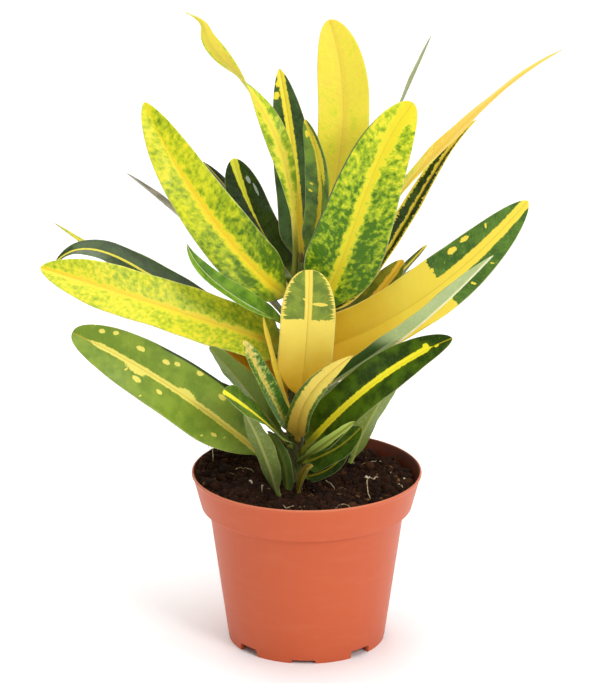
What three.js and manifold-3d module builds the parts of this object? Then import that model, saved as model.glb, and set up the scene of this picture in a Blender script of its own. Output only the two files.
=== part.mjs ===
// Potted croton: a nursery pot, its soil, one upright stem and about fifty strap-shaped leaves.
// Millimetres, +Z up. The origin is on the ground, on the axis of the pot. -Y is the front.
import * as THREE from "three";
import { mergeVertices } from "three/addons/utils/BufferGeometryUtils.js";
import Module from "manifold-3d";

const wasm = await Module();
wasm.setup();

// pot
const RIM_RADIUS = 60;
const POT_HEIGHT = 92;
const COLLAR_HEIGHT = 17.8;
const COLLAR_FOOT_RADIUS = 55.2;
const COLLAR_ROUND = 1.3;
const WALL_TOP_RADIUS = 51.1;
const WALL_TOP_HEIGHT = 72.4;
const FOOT_RADIUS = 41.1;
const WALL = 1.2;
const STEP = 1.4;
const LIP = 0.8;
const FLOOR_UNDERSIDE = 5;
const FLOOR_THICKNESS = 1.4;
const POT_SIDES = 64;
const NOTCHES = 8;
const NOTCH_WIDTH = 12.6;
const NOTCH_HEIGHTS = [1.8, 4];
const NOTCH_CORNER = 1.2;
const NOTCH_TURN = -2.5;
const DRAIN_HOLES = 4;
const DRAIN_RADIUS = 4;
const DRAIN_CIRCLE = 22;

// soil
const GAP = 0.3;
const SOIL_HEIGHT = 86.8;
const SOIL_SLOPE = -0.035;
const SOIL_SIDES = 40;
const SOIL_RINGS = [9, 18, 27, 36, 45, 52];
const SOIL_ROUGHNESS = 0.9;
const MOUND_HEIGHT = 6;
const MOUND_AT = [-45, 20];
const MOUND_SPREAD = 16;
const HOLLOW_DEPTH = 3.4;
const HOLLOW_AT = [-8, -12];
const HOLLOW_SPREAD = 15;

// stem, from its lower end in the soil to its tip
const STEM_AXIS = [[-7.2, -1, 40], [-7, -1, 82], [-4.5, -0.5, 142], [-2, 0, 205]];
const STEM_RADII = [5, 4.6, 3.9, 2.4];
const STEM_SIDES = 10;
const STEM_STEPS = 18;
const STEM_HOLE_CLEARANCE = 0.5;

// leaves
const BLADE_THICKNESS = 0.8;
const STALK_RADIUS = 1.4;
const HALF_CELLS = 2;
const TIP_WIDTH = 1;
const STEPS_PER_MM = 0.075;
const MIN_STEPS = 8;
const MAX_STEPS = 13;
const SOIL_DEPTH_OF_STALK = 8;
const STALK_HOLE_RADIUS = 2.1;
const TWIST_FROM = 0.35;
const TWIST_TO = 0.8;

const YELLOW = 0xd9d428;
const LIME = 0x8fae2c;
const GREEN = 0x47752a;
const DARK = 0x2c4d24;

const DEGREE = Math.PI / 180;

// One leaf: its name, the height where its stalk meets the stem or the [x, y] where it leaves
// the soil, the points that its midrib passes through up to the tip, and its blade's width.
// Then: the side that its upper face looks to, its twist and its V fold in degrees, the height
// of its edge waves, the share of its length that is stalk, the shares of its blade where it has
// opened to its full width and where it begins to close, how pointed its tip is, and its colour.
function leaf(name, root, points, width, options = {}) {
  const plain = {
    face: [0, 0, 1],
    twist: 0,
    fold: 12,
    wave: 0.8,
    stalk: 0.13,
    opens: 0.4,
    closes: 0.45,
    blunt: 0.6,
    colour: GREEN,
  };
  return { name, root, points, width, ...plain, ...options };
}

const LEAVES = [
  leaf("leaf_crown_young", 203, [[7, -10, 247], [-1, -10, 282]], 16,
    { face: [-0.5, -0.8, 0.2], fold: 28, wave: 0.4, stalk: 0.05, opens: 0.2, closes: 0.4, colour: LIME }),
  leaf("leaf_crown_dark", 200, [[-6, 24, 248], [-14, 38, 297]], 22,
    { face: [-0.2, -0.9, 0.3], stalk: 0.04, opens: 0.18, closes: 0.4, blunt: 0.7, colour: DARK }),
  leaf("leaf_crown_ribbon", 198,
    [[-7, 1, 231], [-12, 1, 259], [-25, 2, 288], [-42, 0, 311], [-50, -2, 324], [-60, -4, 335]], 14,
    { face: [0.7, 0.2, 0.6], twist: 150, fold: 6, wave: 0.4, closes: 0.2, blunt: 0.95, colour: YELLOW }),
  leaf("leaf_crown_yellow", 196, [[18, 18, 267], [11, 26, 325]], 27,
    { face: [0.1, -1, 0.3], opens: 0.5, closes: 0.6, blunt: 0.5, colour: YELLOW }),
  leaf("leaf_crown_broad", 172, [[19, -14, 214], [33, -18, 256], [53, -12, 291]], 39,
    { face: [0.2, -0.9, 0.4], wave: 1.2, stalk: 0.08, opens: 0.25,
      closes: 0.2, blunt: 0.5, colour: LIME }),
  leaf("leaf_upper_dark", 193, [[-25, 22, 219], [-38, 40, 249]], 20,
    { face: [-0.1, -0.9, 0.4], stalk: 0.04, opens: 0.18, closes: 0.65, colour: DARK }),
  leaf("leaf_crown_slim", 189, [[37, 36, 254], [64, 60, 309]], 14,
    { face: [-0.85, 0.25, 0.6], blunt: 0.8, colour: GREEN }),
  leaf("leaf_upper_behind", 187, [[-30, 34, 219], [-54, 56, 243]], 8,
    { face: [0.1, -0.8, 0.5], wave: 0.4, closes: 0.4, blunt: 0.8, colour: DARK }),
  leaf("leaf_upper_left", 184, [[-35, -8, 213], [-62, -4, 250], [-82, 6, 287]], 30,
    { face: [0.15, -0.9, 0.4], wave: 1.2, stalk: 0.05, opens: 0.2, closes: 0.35,
      blunt: 0.65, colour: YELLOW }),
  leaf("leaf_upper_ribbon", 182, [[36, 20, 221], [62, 32, 248], [92, 40, 277], [131, 46, 305]], 16,
    { face: [-0.55, -0.1, 0.8], closes: 0.35, blunt: 0.9, colour: YELLOW }),
  leaf("leaf_upper_narrow", 177, [[34, 22, 193], [60, 38, 232], [88, 50, 267]], 12,
    { face: [-0.5, -0.7, 0.4], fold: 28, stalk: 0.04, opens: 0.18,
      closes: 0.5, blunt: 0.8, colour: DARK }),
  leaf("leaf_upper_edge", 170, [[-53, 44, 204], [-95, 74, 232]], 20,
    { face: [0.2, 0.3, 0.9], stalk: 0.04, opens: 0.18, blunt: 0.75, colour: DARK }),
  leaf("leaf_left_folded", 170, [[-29, -21, 188], [-49, -27, 205], [-60, -26, 222]], 14,
    { face: [-0.2, -0.5, 0.8], fold: 30, wave: 0.4, stalk: 0.04, opens: 0.18,
      closes: 0.2, blunt: 0.9, colour: GREEN }),
  leaf("leaf_right_olive", 168, [[23, 13, 170], [50, 24, 199]], 23,
    { face: [-0.2, -0.8, 0.5], stalk: 0.03, opens: 0.14, colour: GREEN }),
  leaf("leaf_left_arched", 166, [[-53, 22, 172], [-97, 38, 195], [-132, 44, 191]], 22,
    { face: [-0.1, -0.2, 1], wave: 0.8, stalk: 0.03, opens: 0.14, colour: DARK }),
  leaf("leaf_right_slim", 166, [[31, 48, 168], [64, 66, 195]], 10,
    { face: [-0.4, -0.3, 0.8], colour: DARK }),
  leaf("leaf_left_yellow", 159, [[-72, -20, 187], [-134, -24, 209]], 28,
    { face: [0, -0.75, 0.65], wave: 1.2, stalk: 0.04, opens: 0.08, closes: 0.6, colour: YELLOW }),
  leaf("leaf_left_behind", 158, [[-51, 34, 165], [-95, 58, 182], [-134, 70, 206]], 12,
    { face: [0, 0.1, 1], blunt: 0.8, colour: LIME }),
  leaf("leaf_right_behind", 154, [[38, 28, 171], [72, 44, 194]], 20,
    { face: [-0.3, -0.6, 0.7], stalk: 0.05, opens: 0.22, colour: GREEN }),
  leaf("leaf_right_long", 156, [[58, -16, 190], [111, -14, 241]], 30,
    { face: [0.1, -0.8, 0.6], wave: 1, stalk: 0.03, opens: 0.14, closes: 0.5, colour: YELLOW }),
  leaf("leaf_right_folded", 134, [[33, -33, 163], [63, -60, 197], [90, -74, 230]], 17,
    { face: [-0.3, 0.5, 0.8], fold: 30, stalk: 0.07, opens: 0.25, blunt: 0.8, colour: GREEN }),
  leaf("leaf_middle_yellow", 132, [[-26, 4, 148], [-45, 8, 157]], 16,
    { face: [0.2, -0.8, 0.6], stalk: 0.03, opens: 0.14, colour: YELLOW }),
  leaf("leaf_front", 130, [[0, -24, 173], [1, -28, 209]], 28,
    { face: [0, -1, 0], fold: 6, stalk: 0.06, opens: 0.26, closes: 0.6, blunt: 0.42, colour: YELLOW }),
  leaf("leaf_low_left_behind", 126, [[-44, 6, 134], [-73, 6, 155]], 8,
    { face: [0, -0.4, 0.9], colour: DARK }),
  leaf("leaf_front_slim", 121, [[-16, -20, 158], [-22, -28, 184]], 5,
    { face: [-0.8, 0.2, 0.4], fold: 20, wave: 0.3, colour: YELLOW }),
  leaf("leaf_front_striped", 114, [[-22, -30, 151], [-32, -38, 175]], 11,
    { face: [0.5, -0.8, 0.2], fold: 30, wave: 0.4, stalk: 0.03, opens: 0.16, colour: LIME }),
  leaf("leaf_front_beige", 111, [[1, -34, 144], [23, -44, 169]], 13,
    { face: [-0.3, -1, 0.1], stalk: 0.03, opens: 0.14, closes: 0.3, blunt: 0.8, colour: YELLOW }),
  leaf("leaf_front_turned", 110, [[-31, -18, 143], [-49, -26, 168]], 20,
    { face: [0.5, 0.7, 0.4], stalk: 0.08, opens: 0.3, colour: GREEN }),
  leaf("leaf_low_left", 90, [[-62, -28, 142], [-118, -34, 178]], 33,
    { face: [-0.1, -0.8, 0.6], wave: 1, opens: 0.35,
      closes: 0.4, blunt: 0.45, colour: GREEN }),
  leaf("leaf_low_curled", 107, [[-25, -37, 134], [-42, -54, 153]], 22,
    { face: [0.1, -0.5, 0.9], stalk: 0.05, opens: 0.22, closes: 0.6, colour: DARK }),
  leaf("leaf_low_right", 104, [[34, -44, 155], [72, -56, 182]], 23.5,
    { face: [0, -0.8, 0.6], stalk: 0.03, opens: 0.14, closes: 0.35, colour: DARK }),
  leaf("leaf_low_small", 99, [[12, -34, 121], [24, -46, 135]], 6,
    { face: [0.3, 0.3, 0.9], wave: 0.3, stalk: 0.05, opens: 0.22, colour: LIME }),
  leaf("leaf_low_dark", 97, [[15, -12, 108], [28, -18, 122]], 15,
    { face: [0, -0.8, 0.6], stalk: 0.03, opens: 0.14, colour: DARK }),
  leaf("leaf_low_under", 89, [[12, -6, 95], [22, -6, 107]], 8,
    { face: [0, -0.8, 0.6], wave: 0.4, stalk: 0.03, opens: 0.14, colour: DARK }),
  leaf("leaf_soil_right", [20, 20], [[31, 26, 106], [52, 27, 142]], 22,
    { face: [-0.6, 0.7, 0.3], stalk: 0.22, colour: GREEN }),
  leaf("leaf_soil_young", [-5, -15], [[-2, -20, 95], [3, -24, 103]], 6,
    { face: [-0.6, -0.6, 0.3], fold: 30, wave: 0.2, colour: YELLOW }),
  leaf("leaf_soil_left", [-13, -17], [[-22, -34, 114], [-31, -46, 139]], 13,
    { face: [0.4, 0.9, 0.3], opens: 0.3, colour: GREEN }),
  leaf("leaf_soil_narrow", [-10, -12], [[-12, -20, 104], [-20, -24, 122]], 9,
    { face: [0.6, 0.7, 0.3], wave: 0.3, stalk: 0.08, opens: 0.3, colour: GREEN }),
  leaf("leaf_back_1", 179, [[18, 38, 212], [35, 72, 234]], 24,
    { stalk: 0.05, opens: 0.22, colour: LIME }),
  leaf("leaf_back_2", 172, [[-20, 42, 200], [-40, 74, 216]], 24, { colour: YELLOW }),
  leaf("leaf_back_3", 168, [[-2, 42, 194], [1, 76, 208]], 26,
    { stalk: 0.06, opens: 0.26, colour: GREEN }),
  leaf("leaf_back_4", 151, [[-50, 30, 156], [-90, 56, 162]], 22, { colour: GREEN }),
  leaf("leaf_back_5", 137, [[-24, 42, 150], [-46, 75, 147]], 24,
    { stalk: 0.05, opens: 0.22, colour: LIME }),
  leaf("leaf_back_6", 143, [[32, 40, 154], [62, 72, 158]], 25,
    { stalk: 0.05, opens: 0.22, colour: DARK }),
  leaf("leaf_back_7", 133, [[16, 42, 146], [35, 74, 145]], 24,
    { stalk: 0.05, opens: 0.22, colour: YELLOW }),
  leaf("leaf_back_8", 124, [[-4, 42, 140], [-4, 76, 144]], 24,
    { stalk: 0.05, opens: 0.22, colour: GREEN }),
  leaf("leaf_back_9", 112, [[-30, 40, 120], [-55, 72, 106]], 24,
    { stalk: 0.05, opens: 0.22, colour: DARK }),
  leaf("leaf_back_10", 106, [[16, 38, 120], [38, 68, 112]], 22,
    { stalk: 0.05, opens: 0.22, colour: GREEN }),
];

// The curve that passes through evenly spaced points, and its direction.
function curvePoint(points, t) {
  const last = points.length - 1;
  const place = new THREE.Vector3();
  points.forEach((point, i) => {
    let weight = 1;
    for (let j = 0; j <= last; j++) if (j !== i) weight *= (t * last - j) / (i - j);
    place.addScaledVector(point, weight);
  });
  return place;
}

function curveDirection(points, t) {
  const step = 0.001;
  return curvePoint(points, t + step).sub(curvePoint(points, t - step)).normalize();
}

const smooth = (x, low, high) => THREE.MathUtils.smoothstep(x, low, high);

// A closed body through rings with the same even number of corners. The second half of each
// ring runs back under the first, and both halves are split along the same diagonals.
function loft(rings) {
  const corners = rings[0].length;
  const places = rings.flat().flatMap((corner) => corner.toArray());
  const faces = [];
  for (let i = 0; i + 1 < rings.length; i++) {
    for (let k = 0; k < corners; k++) {
      const next = (k + 1) % corners;
      const [a, b] = [i * corners + k, i * corners + next];
      const [c, d] = [a + corners, b + corners];
      if (k < corners / 2) faces.push(a, b, d, a, d, c);
      else faces.push(a, b, c, b, d, c);
    }
  }
  const cap = (start, flip) => {
    for (let k = 0; k < corners / 2 - 1; k++) {
      const [a, b] = [start + k, start + k + 1];
      const [c, d] = [start + corners - 1 - k, start + corners - 2 - k];
      if (flip) faces.push(a, c, b, b, c, d);
      else faces.push(a, b, c, b, d, c);
    }
  };
  cap(0, true);
  cap((rings.length - 1) * corners, false);
  return facingOut(places, faces);
}

// A geometry from corners and faces, turned so that its faces look outwards.
function facingOut(places, faces) {
  const corner = (i) => new THREE.Vector3().fromArray(places, 3 * i);
  let volume = 0;
  for (let i = 0; i < faces.length; i += 3) {
    const [a, b, c] = [corner(faces[i]), corner(faces[i + 1]), corner(faces[i + 2])];
    volume += a.dot(b.cross(c));
  }
  if (volume < 0) faces.reverse();
  const geometry = new THREE.BufferGeometry();
  geometry.setAttribute("position", new THREE.Float32BufferAttribute(places, 3));
  geometry.setIndex(faces);
  return geometry;
}

function toSolid(geometry) {
  const bare = geometry.clone();
  bare.deleteAttribute("normal");
  bare.deleteAttribute("uv");
  const merged = mergeVertices(bare, 1e-4);
  return new wasm.Manifold(new wasm.Mesh({
    numProp: 3,
    vertProperties: new Float32Array(merged.attributes.position.array),
    triVerts: new Uint32Array(merged.index.array),
  }));
}

function fromSolid(solid) {
  const mesh = solid.getMesh();
  const geometry = new THREE.BufferGeometry();
  geometry.setAttribute("position", new THREE.Float32BufferAttribute(mesh.vertProperties, 3));
  geometry.setIndex([...mesh.triVerts]);
  return geometry;
}

function named(name, geometry, colour, roughness) {
  const material = new THREE.MeshStandardMaterial({ color: colour, roughness, metalness: 0 });
  const mesh = new THREE.Mesh(geometry, material);
  mesh.name = name;
  return mesh;
}

// The heights where the pot's inner wall turns: over the step under the collar, and above it.
const INNER_WALL_TOP = WALL_TOP_HEIGHT + STEP;
const INNER_COLLAR_FOOT = POT_HEIGHT - COLLAR_HEIGHT + STEP;

// The radius of the pot's inner wall at a height.
function potInside(height) {
  const outside = height > INNER_COLLAR_FOOT
    ? THREE.MathUtils.mapLinear(height, INNER_COLLAR_FOOT, POT_HEIGHT, COLLAR_FOOT_RADIUS, RIM_RADIUS)
    : height > INNER_WALL_TOP
      ? THREE.MathUtils.mapLinear(height, INNER_WALL_TOP, INNER_COLLAR_FOOT,
        WALL_TOP_RADIUS, COLLAR_FOOT_RADIUS)
      : THREE.MathUtils.mapLinear(height, 0, INNER_WALL_TOP, FOOT_RADIUS, WALL_TOP_RADIUS);
  return outside - WALL;
}

function potGeometry() {
  const collarFoot = POT_HEIGHT - COLLAR_HEIGHT;
  const floorTop = FLOOR_UNDERSIDE + FLOOR_THICKNESS;
  const profile = [
    [0, FLOOR_UNDERSIDE],
    [potInside(FLOOR_UNDERSIDE) - LIP, FLOOR_UNDERSIDE],
    [potInside(0) - LIP, 0],
    [FOOT_RADIUS, 0],
    [WALL_TOP_RADIUS, WALL_TOP_HEIGHT],
    [COLLAR_FOOT_RADIUS - COLLAR_ROUND, collarFoot - COLLAR_ROUND],
    [COLLAR_FOOT_RADIUS, collarFoot],
    [RIM_RADIUS - LIP, POT_HEIGHT - LIP * 3],
    [RIM_RADIUS, POT_HEIGHT - LIP],
    [RIM_RADIUS - LIP / 2, POT_HEIGHT],
    [potInside(POT_HEIGHT), POT_HEIGHT - LIP / 2],
    [potInside(INNER_COLLAR_FOOT), INNER_COLLAR_FOOT],
    [potInside(INNER_WALL_TOP), INNER_WALL_TOP],
    [potInside(floorTop), floorTop],
    [0, floorTop],
  ].map(([radius, height]) => new THREE.Vector2(radius, height));
  const shell = new THREE.LatheGeometry(profile, POT_SIDES).rotateX(Math.PI / 2);
  let pot = toSolid(facingOut([...shell.attributes.position.array], [...shell.index.array]));
  for (let i = 0; i < NOTCHES; i++) {
    const turn = (NOTCH_TURN + (i * 360) / NOTCHES - 90) * DEGREE;
    pot = pot.subtract(toSolid(notchGeometry(NOTCH_HEIGHTS[i % 2]).rotateZ(turn)));
  }
  for (let i = 0; i < DRAIN_HOLES; i++) {
    const turn = ((i + 0.5) * 2 * Math.PI) / DRAIN_HOLES;
    const hole = new THREE.CylinderGeometry(DRAIN_RADIUS, DRAIN_RADIUS, 4 * FLOOR_THICKNESS, 16);
    hole.rotateX(Math.PI / 2);
    hole.translate(DRAIN_CIRCLE * Math.cos(turn), DRAIN_CIRCLE * Math.sin(turn), FLOOR_UNDERSIDE);
    pot = pot.subtract(toSolid(hole));
  }
  return fromSolid(pot);
}

// What a notch takes out of the foot ring, along +X, with round upper corners.
function notchGeometry(height) {
  const half = NOTCH_WIDTH / 2;
  const shape = new THREE.Shape();
  shape.moveTo(-half, -1);
  shape.lineTo(half, -1);
  shape.lineTo(half, height - NOTCH_CORNER);
  shape.quadraticCurveTo(half, height, half - NOTCH_CORNER, height);
  shape.lineTo(NOTCH_CORNER - half, height);
  shape.quadraticCurveTo(-half, height, -half, height - NOTCH_CORNER);
  shape.closePath();
  const cut = new THREE.ExtrudeGeometry(shape, { depth: 10, bevelEnabled: false, curveSegments: 3 });
  cut.rotateX(Math.PI / 2).rotateZ(Math.PI / 2).translate(FOOT_RADIUS - 6, 0, 0);
  return cut;
}

// The height of the soil at a place: lumpy, higher on the left, with a mound at the back left
// and a hollow in front of the stem.
function soilHeight(x, y) {
  const near = ([u, v], spread) => Math.exp(-((x - u) ** 2 + (y - v) ** 2) / spread ** 2);
  const mound = MOUND_HEIGHT * near(MOUND_AT, MOUND_SPREAD);
  const hollow = HOLLOW_DEPTH * near(HOLLOW_AT, HOLLOW_SPREAD);
  const lumps = Math.sin(x * 0.31 + 1.7) * Math.cos(y * 0.27) + Math.sin(x * 0.17 - y * 0.23);
  return SOIL_HEIGHT + SOIL_SLOPE * x + mound - hollow + SOIL_ROUGHNESS * lumps;
}

function soilGeometry(stem, stalks) {
  const floorTop = FLOOR_UNDERSIDE + FLOOR_THICKNESS + GAP;
  const around = (i) => (i * 2 * Math.PI) / SOIL_SIDES;
  const ring = (radius, height) => {
    const corners = [];
    for (let i = 0; i < SOIL_SIDES; i++) {
      const [x, y] = [radius * Math.cos(around(i)), radius * Math.sin(around(i))];
      corners.push(new THREE.Vector3(x, y, height === undefined ? soilHeight(x, y) : height));
    }
    return corners;
  };
  const brim = ring(potInside(SOIL_HEIGHT) - 2);
  brim.forEach((corner) => {
    const reach = (potInside(Math.min(corner.z, POT_HEIGHT - 1)) - GAP * 2) / Math.hypot(corner.x, corner.y);
    corner.x *= reach;
    corner.y *= reach;
  });
  const walls = [INNER_COLLAR_FOOT, INNER_WALL_TOP, floorTop];
  const rings = [...SOIL_RINGS.map((radius) => ring(radius)), brim];
  walls.forEach((height) => rings.push(ring(potInside(height) - GAP * 2, height)));
  const places = [0, 0, soilHeight(0, 0), ...rings.flat().flatMap((corner) => corner.toArray())];
  places.push(0, 0, floorTop);
  const bottom = places.length / 3 - 1;
  const faces = [];
  for (let k = 0; k < SOIL_SIDES; k++) {
    const next = (k + 1) % SOIL_SIDES;
    faces.push(0, 1 + k, 1 + next);
    for (let i = 0; i + 1 < rings.length; i++) {
      const [a, b] = [1 + i * SOIL_SIDES + k, 1 + i * SOIL_SIDES + next];
      const [c, d] = [a + SOIL_SIDES, b + SOIL_SIDES];
      faces.push(a, c, b, b, c, d);
    }
    const start = 1 + (rings.length - 1) * SOIL_SIDES;
    faces.push(bottom, start + next, start + k);
  }
  let soil = toSolid(facingOut(places, faces));
  soil = soil.subtract(toSolid(tube(stem, STEM_HOLE_CLEARANCE)));
  stalks.forEach((stalk) => {
    soil = soil.subtract(toSolid(tube(stalk, STEM_HOLE_CLEARANCE)));
  });
  return fromSolid(soil);
}

// A round tapering tube along its own axis points, grown by a clearance all round.
function tube({ axis, radii, sides, steps }, clearance = 0) {
  const points = axis.map((point) => new THREE.Vector3(...point));
  const sizes = radii.map((radius) => new THREE.Vector3(radius, 0, 0));
  const rings = [];
  for (let i = 0; i <= steps; i++) {
    const t = i / steps;
    const ahead = curveDirection(points, t);
    const side = new THREE.Vector3(0, 1, 0).cross(ahead).normalize();
    const up = ahead.clone().cross(side);
    const end = i === 0 ? -clearance : i === steps ? clearance : 0;
    const centre = curvePoint(points, t).addScaledVector(ahead, end);
    const radius = curvePoint(sizes, t).x + clearance;
    rings.push(Array.from({ length: sides }, (_, k) => {
      const angle = ((k + 0.5) * 2 * Math.PI) / sides;
      return centre.clone()
        .addScaledVector(side, radius * Math.cos(angle))
        .addScaledVector(up, radius * Math.sin(angle));
    }));
  }
  return loft(rings);
}

const STEM = { axis: STEM_AXIS, radii: STEM_RADII, sides: STEM_SIDES, steps: STEM_STEPS };

// The centre and the radius of the stem at a height.
function stemAt(height) {
  const points = STEM_AXIS.map((point) => new THREE.Vector3(...point));
  let [low, high] = [0, 1];
  for (let i = 0; i < 30; i++) {
    const middle = (low + high) / 2;
    if (curvePoint(points, middle).z < height) low = middle;
    else high = middle;
  }
  const radius = curvePoint(STEM_RADII.map((size) => new THREE.Vector3(size, 0, 0)), low).x;
  return { centre: curvePoint(points, low), radius };
}

// Where a leaf's stalk starts: beside the stem on the side it leans to, or down in the soil.
function stalkFoot({ root, points }) {
  if (Array.isArray(root)) {
    const [x, y] = root;
    return new THREE.Vector3(x, y, soilHeight(x, y) - SOIL_DEPTH_OF_STALK);
  }
  const { centre, radius } = stemAt(root);
  const onward = points.map((point) => new THREE.Vector3(...point));
  const lean = onward[0].clone().sub(centre).setZ(0).normalize();
  const foot = centre.clone().addScaledVector(lean, radius + GAP + STALK_RADIUS);
  for (let pass = 0; pass < 3; pass++) {
    const across = Math.sqrt(1 - curveDirection([foot, ...onward], 0).dot(lean) ** 2);
    foot.copy(centre).addScaledVector(lean, radius + GAP + STALK_RADIUS * across);
  }
  return foot;
}

// Half the width of a blade along its length: a stalk, then a strap that opens, runs on and closes.
function halfWidth({ width, stalk, opens, closes, blunt }, t) {
  const s = THREE.MathUtils.clamp((t - stalk) / (1 - stalk), 0, 1);
  const opening = Math.sin((Math.min(1, s / opens) * Math.PI) / 2) ** 0.8;
  const closing = (1 - (Math.max(0, s - closes) / (1 - closes)) ** 2) ** blunt;
  return Math.max(STALK_RADIUS * (1 - s), (width / 2) * opening * closing, TIP_WIDTH / 2);
}

function leafGeometry(plan) {
  const points = [stalkFoot(plan), ...plan.points.map((point) => new THREE.Vector3(...point))];
  const face = new THREE.Vector3(...plan.face);
  const length = points[0].distanceTo(points[points.length - 1]);
  const steps = THREE.MathUtils.clamp(Math.round(length * STEPS_PER_MM), MIN_STEPS, MAX_STEPS);
  const rings = [];
  for (let i = 0; i <= steps; i++) {
    const t = 1 - (1 - i / steps) ** 1.25;
    const centre = curvePoint(points, t);
    const ahead = curveDirection(points, t);
    const upper = face.clone().addScaledVector(ahead, -face.dot(ahead)).normalize();
    upper.applyAxisAngle(ahead, plan.twist * (smooth(t, TWIST_FROM, TWIST_TO) - 0.5) * DEGREE);
    const side = ahead.clone().cross(upper);
    const blade = smooth(t, plan.stalk * 0.8, plan.stalk * 2.2);
    const fold = plan.fold * DEGREE * blade;
    const half = halfWidth(plan, t);
    const above = [];
    const below = [];
    for (let k = -HALF_CELLS; k <= HALF_CELLS; k++) {
      const v = k / HALF_CELLS;
      const ripple = Math.sin(t * 14 + (v > 0 ? 2.1 : 0)) * plan.wave * v * v * blade * (1 - t ** 4);
      const out = half * v * Math.cos(fold);
      const lift = half * Math.abs(v) * Math.sin(fold) + ripple;
      const round = STALK_RADIUS * Math.sqrt(1 - 0.85 * v * v);
      const thick = THREE.MathUtils.lerp(round, (BLADE_THICKNESS / 2) * (1.5 - 0.5 * Math.abs(v)), blade);
      const normal = upper.clone().multiplyScalar(Math.cos(fold));
      normal.addScaledVector(side, -Math.sign(v) * Math.sin(fold)).normalize();
      const place = centre.clone().addScaledVector(side, out).addScaledVector(upper, lift);
      above.push(place.clone().addScaledVector(normal, thick));
      below.unshift(place.addScaledVector(normal, -thick));
    }
    rings.push([...above, ...below]);
  }
  return loft(rings);
}

// The hole that a stalk standing in the soil needs.
function stalkHole(plan) {
  const foot = stalkFoot(plan);
  const points = [foot, ...plan.points.map((point) => new THREE.Vector3(...point))];
  const top = curvePoint(points, 0.3);
  const radii = [STALK_HOLE_RADIUS, STALK_HOLE_RADIUS];
  return { axis: [foot.toArray(), top.toArray()], radii, sides: 8, steps: 1 };
}

const croton = new THREE.Group();
const inSoil = LEAVES.filter((plan) => Array.isArray(plan.root));
croton.add(named("pot", potGeometry(), 0xc8643f, 0.45));
croton.add(named("soil", soilGeometry(STEM, inSoil.map(stalkHole)), 0x2b1d16, 0.95));
croton.add(named("stem", tube(STEM), 0x4d5a2e, 0.7));
LEAVES.forEach((plan) => croton.add(named(plan.name, leafGeometry(plan), plan.colour, 0.35)));

export default croton;
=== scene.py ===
"""A croton in its nursery pot: strap-shaped variegated leaves round one stem, in dark peat.

Sizes are in millimetres in the plans and in metres on the meshes. +Z is up and -Y is the front.
"""
import logging
import math
import random
from dataclasses import dataclass, field, replace
from enum import Enum
from typing import Optional, Sequence, Union

import bmesh
import bpy
import numpy as np
from mathutils import Matrix, Vector, noise


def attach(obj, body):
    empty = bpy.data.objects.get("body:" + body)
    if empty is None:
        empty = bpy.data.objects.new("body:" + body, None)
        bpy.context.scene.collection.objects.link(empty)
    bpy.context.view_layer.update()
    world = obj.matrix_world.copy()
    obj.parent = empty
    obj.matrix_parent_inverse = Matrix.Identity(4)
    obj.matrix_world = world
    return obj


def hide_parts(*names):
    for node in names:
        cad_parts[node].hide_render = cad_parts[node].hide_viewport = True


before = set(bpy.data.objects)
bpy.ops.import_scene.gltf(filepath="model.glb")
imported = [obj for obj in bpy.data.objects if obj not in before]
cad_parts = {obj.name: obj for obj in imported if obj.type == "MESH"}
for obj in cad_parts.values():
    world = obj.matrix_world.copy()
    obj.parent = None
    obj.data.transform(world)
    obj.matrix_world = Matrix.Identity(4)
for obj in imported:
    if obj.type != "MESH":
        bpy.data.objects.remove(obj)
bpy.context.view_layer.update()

log = logging.getLogger("croton")

MM = 0.001
FULL_TURN = 2 * math.pi
Colour = tuple[float, float, float]
Point = tuple[float, float, float]
Spot = tuple[float, float]
Mark = tuple[float, float, float, float]
Socket = bpy.types.NodeSocket
Material = bpy.types.Material
Piece = bpy.types.Object
Plugged = Union[float, Sequence[float], Socket]


def paint(code: str) -> Colour:
    """Turns a screen colour into linear values by the sRGB curve.

    Args:
        code: red, green and blue as two hexadecimal digits each.

    Returns:
        The linear red, green and blue.
    """
    parts = [int(code[i:i + 2], 16) / 255 for i in (0, 2, 4)]
    return tuple(c / 12.92 if c <= 0.04045 else ((c + 0.055) / 1.055) ** 2.4 for c in parts)


def ease(x: np.ndarray, low: float, high: float) -> np.ndarray:
    """Rises smoothly from 0 at low to 1 at high."""
    s = np.clip((x - low) / (high - low), 0, 1)
    return s * s * (3 - 2 * s)


def through(points: Sequence[Sequence[float]], t: np.ndarray) -> np.ndarray:
    """Follows the polynomial curve through evenly spaced points.

    Args:
        points: the points, from the curve's start to its end.
        t: places along it, 0 at the start and 1 at the end.

    Returns:
        One point for each place.
    """
    knots = np.asarray(points, float)
    last = len(knots) - 1
    place = np.zeros((len(t), knots.shape[1]))
    for i, knot in enumerate(knots):
        weight = np.ones(len(t))
        for j in range(last + 1):
            if j != i:
                weight *= (t * last - j) / (i - j)
        place += weight[:, None] * knot
    return place


def heading(points: Sequence[Sequence[float]], t: np.ndarray) -> np.ndarray:
    """Gives the unit direction of the curve through evenly spaced points, at each place t."""
    ahead = through(points, t + 0.001) - through(points, t - 0.001)
    return ahead / np.linalg.norm(ahead, axis=1, keepdims=True)


def link(name: str, data: bpy.types.ID) -> Piece:
    """Adds an object to the scene.

    Args:
        name: the object's name.
        data: its mesh, light or camera.

    Returns:
        The new object.
    """
    thing = bpy.data.objects.new(name, data)
    bpy.context.scene.collection.objects.link(thing)
    return thing


def dressed(name: str, mesh: bpy.types.Mesh, material: Optional[Material]) -> Piece:
    """Makes an object at the origin of a mesh.

    Args:
        name: the piece's name.
        mesh: its mesh in metres, which turns smooth.
        material: what it is made of, or None for a helper.

    Returns:
        The new object, linked into the scene.
    """
    if material:
        mesh.materials.append(material)
    mesh.shade_smooth()
    return link(name, mesh)


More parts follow.
